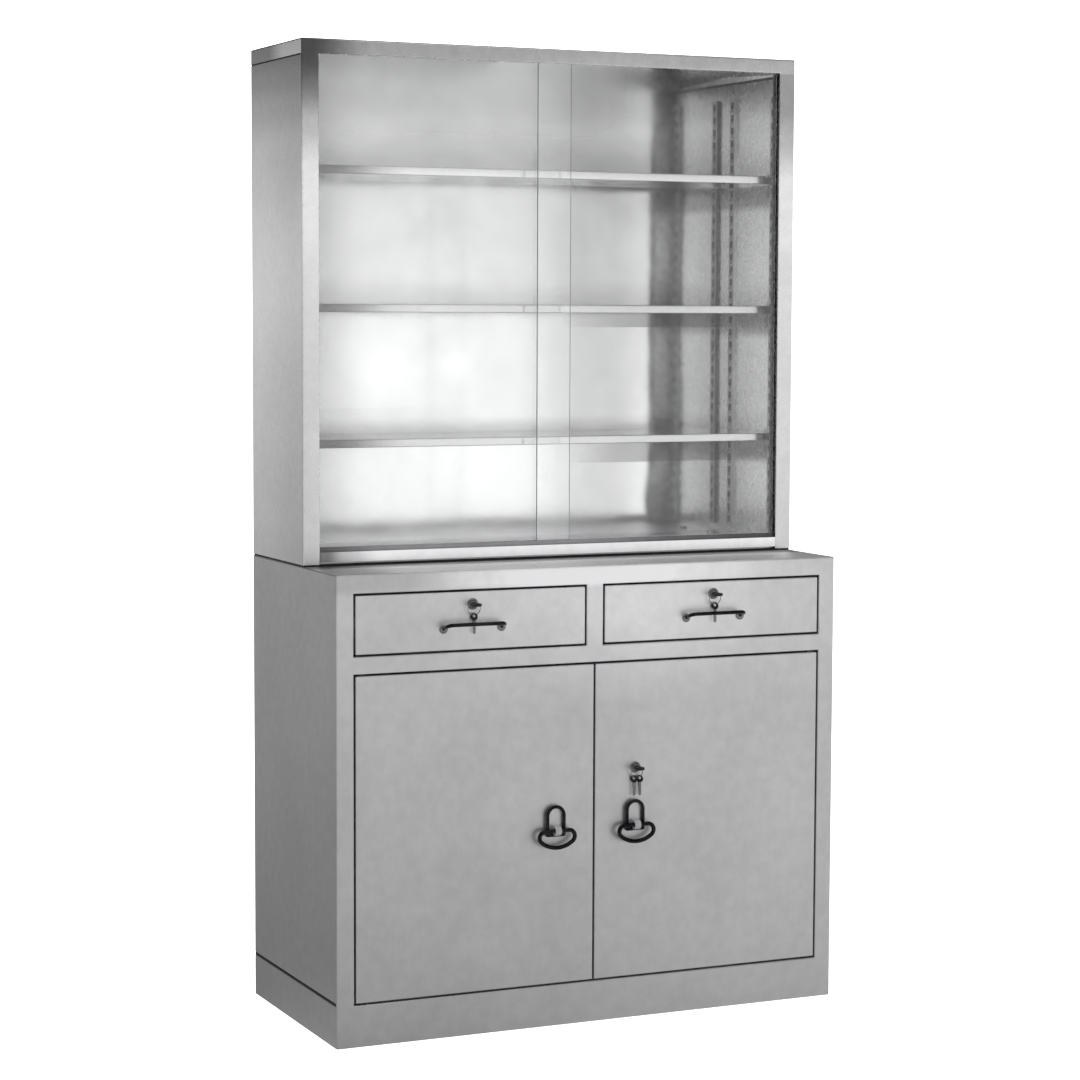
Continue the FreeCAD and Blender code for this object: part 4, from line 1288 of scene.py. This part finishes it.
for side in ("left", "right"):
    buildPins(side, pinLook)
for side in ("left", "right"):
    buildPullMount(side, pullLook)
    buildPullRing(side, pullLook)
print("handles and pulls built")


# Locks: a rim, a threaded barrel and its nut
lockLook = {"rim": 10.5, "rimHeight": 3.0, "barrel": 8.4, "bore": 6.05, "length": 22.0,
            "thread": 1.0, "threadStart": 0.8, "threadEnd": 0.6, "ridge": 0.35,
            "nut": 13.0, "nutHeight": 3.0, "nutEdge": 0.5, "nutPlay": 0.1,
            # How far out from the bore, and how far in from the rim, and how deep below its face
            "innerEdge": [(0.0, 1.2), (0.5, 0.5), (1.1, 0.15)],
            "outerEdge": [(2.2, 0.0), (1.1, 0.3), (0.3, 1.0), (0.0, 1.9)]}


def threadProfile(look, length):
    # Round the rim, up the barrel in ridges, then back inside the bore.
    y = np.arange(look["threadStart"], length - look["threadEnd"], look["thread"] / 2)
    barrel, bore, r, h = look["barrel"], look["bore"], look["rim"], look["rimHeight"]
    ridges = np.stack([barrel - look["ridge"] * (np.arange(len(y)) % 2), y], axis=1)
    inner = [(bore + wide, deep - h) for wide, deep in look["innerEdge"]]
    outer = [(r - wide, deep - h) for wide, deep in look["outerEdge"]]
    end = [(barrel - look["threadEnd"], length), (bore, length), inner[0]]
    return np.vstack([inner, outer, [(r, 0.0), (barrel, 0.0)], ridges, end])


def hexagonOutline(radius, steps=36):
    # The straight sides lie at cos(30) of the radius from the centre.
    turn = np.linspace(0, 2 * np.pi, steps, endpoint=False)
    half = math.pi / 6
    return arc(radius * math.cos(half) / np.cos((turn + half) % (2 * half) - half), turn)


def buildLock(node, name, body, look):
    x, z = lockPlace(node)
    (_, y0, _), (_, y1, _) = boxOf(node)
    face = y0 + look["rimHeight"]
    hole = circle(look["barrel"] + look["nutPlay"])
    nut = flatPlate(hexagonOutline(look["nut"]), look["nutHeight"], look["nutEdge"], hole)
    shapes = [turned(threadProfile(look, min(y1 - face, look["length"])), (x, face, z), steps=48),
              moved(nut, (x, y1, z), (1, 0, 0), (0, 0, 1))]
    solidPiece(name, shapes, body, "smokedSteel", (node,))


buildLock("left_drawer_lock", "leftDrawerLock", "left_drawer", lockLook)
buildLock("right_drawer_lock", "rightDrawerLock", "right_drawer", lockLook)
buildLock("door_lock", "doorLock", "right_door", lockLook)


# Keys: a plug and cam with the key in it, and spare keys on a wire ring
keyLook = {"plug": 6.0, "plugRound": 0.5, "dish": (0.3, 1.6, 1.2), "hub": 3.5, "length": 22.0,
           "camGap": 0.4, "cam": 2.0, "camWide": 12.0, "camEdge": 0.3, "play": 0.1,
           "sheet": 2.0, "bladeEdge": 0.25, "high": 6.5, "depth": 14.0, "tooth": 1.6,
           "neck": 8.0, "neckRadius": 3.6, "neckRound": 0.5, "neckGap": 0.1,
           "bow": 9.0, "bowEdge": 0.9, "sink": 1.0, "hole": 3.0, "holeInset": 0.2, "head": 5.0,
           "ring": 12.0, "wire": 0.8, "hang": 0.3, "drop": 1.0, "turn": 40.0,
           "spareBow": 7.0, "spareHead": 2.6, "spareStart": 1.5, "spareLength": 24.0, "spareHigh": 6.5,
           "spareTooth": 1.4}


# A key's blade: its tip's corners, where its teeth end and start, and how deep each cut is
bladeLook = {"corner": 2.0, "slope": 3.0, "tip": 2.5, "root": 5.0,
             "cuts": (0.9, 0.3, 0.3, 1.0, 1.0, 0.2, 0.2, 0.8, 0.8, 0.0, 0.6, 0.6, 0.1, 0.1, 0.0)}


def bladeOutline(start, length, high, tooth, look=bladeLook):
    # Along one straight edge, round the cut corner of the tip, and back over the teeth.
    half, corner, end = high / 2, look["corner"], start + length
    tip = [(start, -half), (end - corner, -half), (end, corner - half), (end, half - look["slope"])]
    steps = start + np.linspace(length - look["tip"], look["root"], len(look["cuts"]))
    teeth = np.stack([steps, half - tooth * np.array(look["cuts"])], axis=1)
    return np.vstack([tip, teeth, [(start, half)]])


def camOutline(wide, length, corner=2.0, bevel=0.6):
    # A half circle round the hub, and a long end with cut corners.
    r = wide / 2
    head = arc(r, np.linspace(np.pi / 2, 1.5 * np.pi, 24))
    end = np.array([(length - corner, -r), (length - bevel, bevel - r), (length, corner - r)])
    return np.vstack([head, end, end[::-1] * (1, -1)])


def bow(radius, head, look):
    # The key's moulded head, with its hole nearer to its outer side.
    outline = circle(radius, 48)
    centre = (-(radius - look["hole"]) / 2, 0.0)
    return flatPlate(outline, head, look["bowEdge"], holeIn(outline, look["hole"] - look["holeInset"], centre))


def buildKeyInLock(node, lockNode, name, body, upright, look):
    x, z = lockPlace(lockNode)
    face = boxOf(lockNode)[0][1]
    end = face + lockLook["rimHeight"] + look["length"]
    camStart = end + look["camGap"]
    camEnd = camStart + look["cam"]
    r, hub = look["plug"], look["hub"]
    c, (deep, wide, narrow) = look["plugRound"], look["dish"]
    profile = [(0, face + deep), (r - wide, face + deep), (r - narrow, face), (r - c, face), (r, face + c),
               (r, end), (hub, end), (hub, camEnd), (0, camEnd)]
    _, hi = boxOf(node)
    outline = camOutline(look["camWide"], hi[2] - z if upright else hi[0] - x)
    cam = flatPlate(outline, look["cam"], look["camEdge"], holeIn(outline, hub + look["play"]))
    if upright:
        cam = moved(cam, (x, camStart, z), (0, 0, 1), (1, 0, 0))
    else:
        cam = moved(cam, (x, camEnd, z), (1, 0, 0), (0, 0, 1))
    # The key's length runs inwards from the bow.
    inwards = (0, 1, 0), (1, 0, 0)
    keyStart = face - look["neck"]
    blade = flatPlate(bladeOutline(0.0, look["neck"] + look["depth"], look["high"], look["tooth"]), look["sheet"],
                      look["bladeEdge"])
    key = moved(blade, (x, keyStart, z + look["sheet"] / 2), *inwards)
    solidPiece(name + "Plug", [turned(profile, (x, 0, z)), cam, key], body, "keyNickel", (node,))
    centre = keyStart + look["sink"] - look["bow"]
    head = moved(bow(look["bow"], look["head"], look), (x, centre, z + look["head"] / 2), *inwards)
    r, c, stop = look["neckRadius"], look["neckRound"], face - look["neckGap"]
    neck = turned([(0, keyStart), (r, keyStart), (r, stop - c), (r - c, stop), (0, stop)], (x, 0, z))
    solidPiece(name + "KeyHead", [head, neck], body, "blackPlastic", (node,))


def buildSpares(node, lockNode, name, body, spreads, look):
    x, z = lockPlace(lockNode)
    y = boxOf(lockNode)[0][1] - look["neck"] / 2
    ring, r, sheet, headThick = look["ring"], look["spareBow"], look["sheet"], look["spareHead"]
    middle = z + look["neckRadius"] + look["hang"] - (ring - look["wire"])
    loop = circle(ring, 72)
    loop = np.column_stack([x + loop[:, 0], np.full(len(loop), y), middle + loop[:, 1]])
    metal = [tube(loop, look["wire"], (0, 1, 0), 12, True)]
    heads = []
    twist = math.radians(look["turn"])
    width = (-math.sin(twist), math.cos(twist), 0.0)
    down = (0, 0, -1)
    thick = np.cross(down, width)
    start = look["spareStart"]
    outline = bladeOutline(r - start, look["spareLength"] + start, look["spareHigh"], look["spareTooth"])
    for spread in spreads:
        a = math.radians(spread)
        hang = np.array([x + ring * math.sin(a), y, middle - ring * math.cos(a) - look["drop"]])
        centre = hang - np.array([0, 0, (r - look["hole"]) / 2])
        metal.append(moved(flatPlate(outline, sheet, look["bladeEdge"]), centre - thick * sheet / 2, down, width))
        heads.append(moved(bow(r, headThick, look), centre - thick * headThick / 2, down, width))
    solidPiece(name + "SpareRing", metal, body, "keyNickel", (node,), 50.0)
    solidPiece(name + "SpareHeads", heads, body, "blackPlastic", (node,))


for side in ("left", "right"):
    drawer = side + "_drawer"
    buildKeyInLock(drawer + "_key_and_cam", drawer + "_lock", side + "Drawer", drawer + "_plug", False, keyLook)
    buildSpares(drawer + "_spare_key", drawer + "_lock", side + "Drawer", drawer + "_keys", [0.0], keyLook)
buildKeyInLock("door_key_and_cam", "door_lock", "door", "door_plug", True, keyLook)
buildSpares("door_spare_keys", "door_lock", "door", "door_keys", [-29.0, 29.0], keyLook)
print("keys built")


# Painted shade: black strips behind the seams on the sides and under the edge of the upper case, standing in for
# the shade in these gaps
stripLook = {"thick": 2.0, "over": 6.0, "inset": 1.0, "front": 2.0, "sink": 0.1, "round": 0.3, "wide": 14.0}


def buildStrips(look):
    inset, sink, thick, wide = look["inset"], look["sink"], look["thick"], look["wide"]
    (_, front, _), (_, back, worktop) = boxOf("worktop")
    (_, upperFront, upperTop), _ = boxOf("upper_top")
    lowerTop = boxOf("base_rail")[1][2]
    inner = boxOf("upper_floor")[0][0]
    shapes = []
    for start, low, high in ((front, lowerTop - look["over"], lowerTop + look["over"]),
                             (upperFront, upperTop - upperLook["seam"] - inset, upperTop + inset)):
        outline = rectangle(start + look["front"], back - inset, low, high)
        for x in (inner - sink, -inner + sink - thick):
            strip = flatPlate(outline, thick, look["round"], steps=2)
            shapes.append(moved(strip, (x, 0, 0), (0, 1, 0), (0, 0, 1)))
    half = -inner - inset
    start, stop = upperFront + inset, back - inset
    outer = rectangle(-half, half, start, stop)
    hole = rectangle(wide - half, half - wide, start + wide, stop - wide)
    gapShade = flatPlate(outer, boxOf("left_upper_stile")[0][2] - worktop + 2 * sink, 0.0, hole)
    shapes.append(moved(gapShade, (0, 0, worktop - sink), (1, 0, 0), (0, 1, 0)))
    solidPiece("gapShadeStrips", shapes, "cabinet", "blackPlastic")


buildStrips(stripLook)


# Glass panes, with ground edges
def buildGlass(side, round=0.5):
    node = side + "_glass"
    (x0, y0, z0), (x1, y1, z1) = boxOf(node)
    pane = flatPlate(rectangle(x0, x1, z0, z1), y1 - y0, round, steps=2)
    shape = moved(pane, (0, y1, 0), (1, 0, 0), (0, 0, 1))
    piece = solidPiece(side + "GlassPane", [shape], side + "_glass_door", "clearGlass",
                       (node,), 20.0)
    piece.data.materials.append(finishes["glassEdge"])
    onEdge = np.abs(readArray(piece.data.polygons, "normal", width=3)[:, 1]) < nearlyFlat
    piece.data.polygons.foreach_set("material_index", onEdge.astype(np.int32))


for side in ("left", "right"):
    buildGlass(side)
print("locks and glass built")
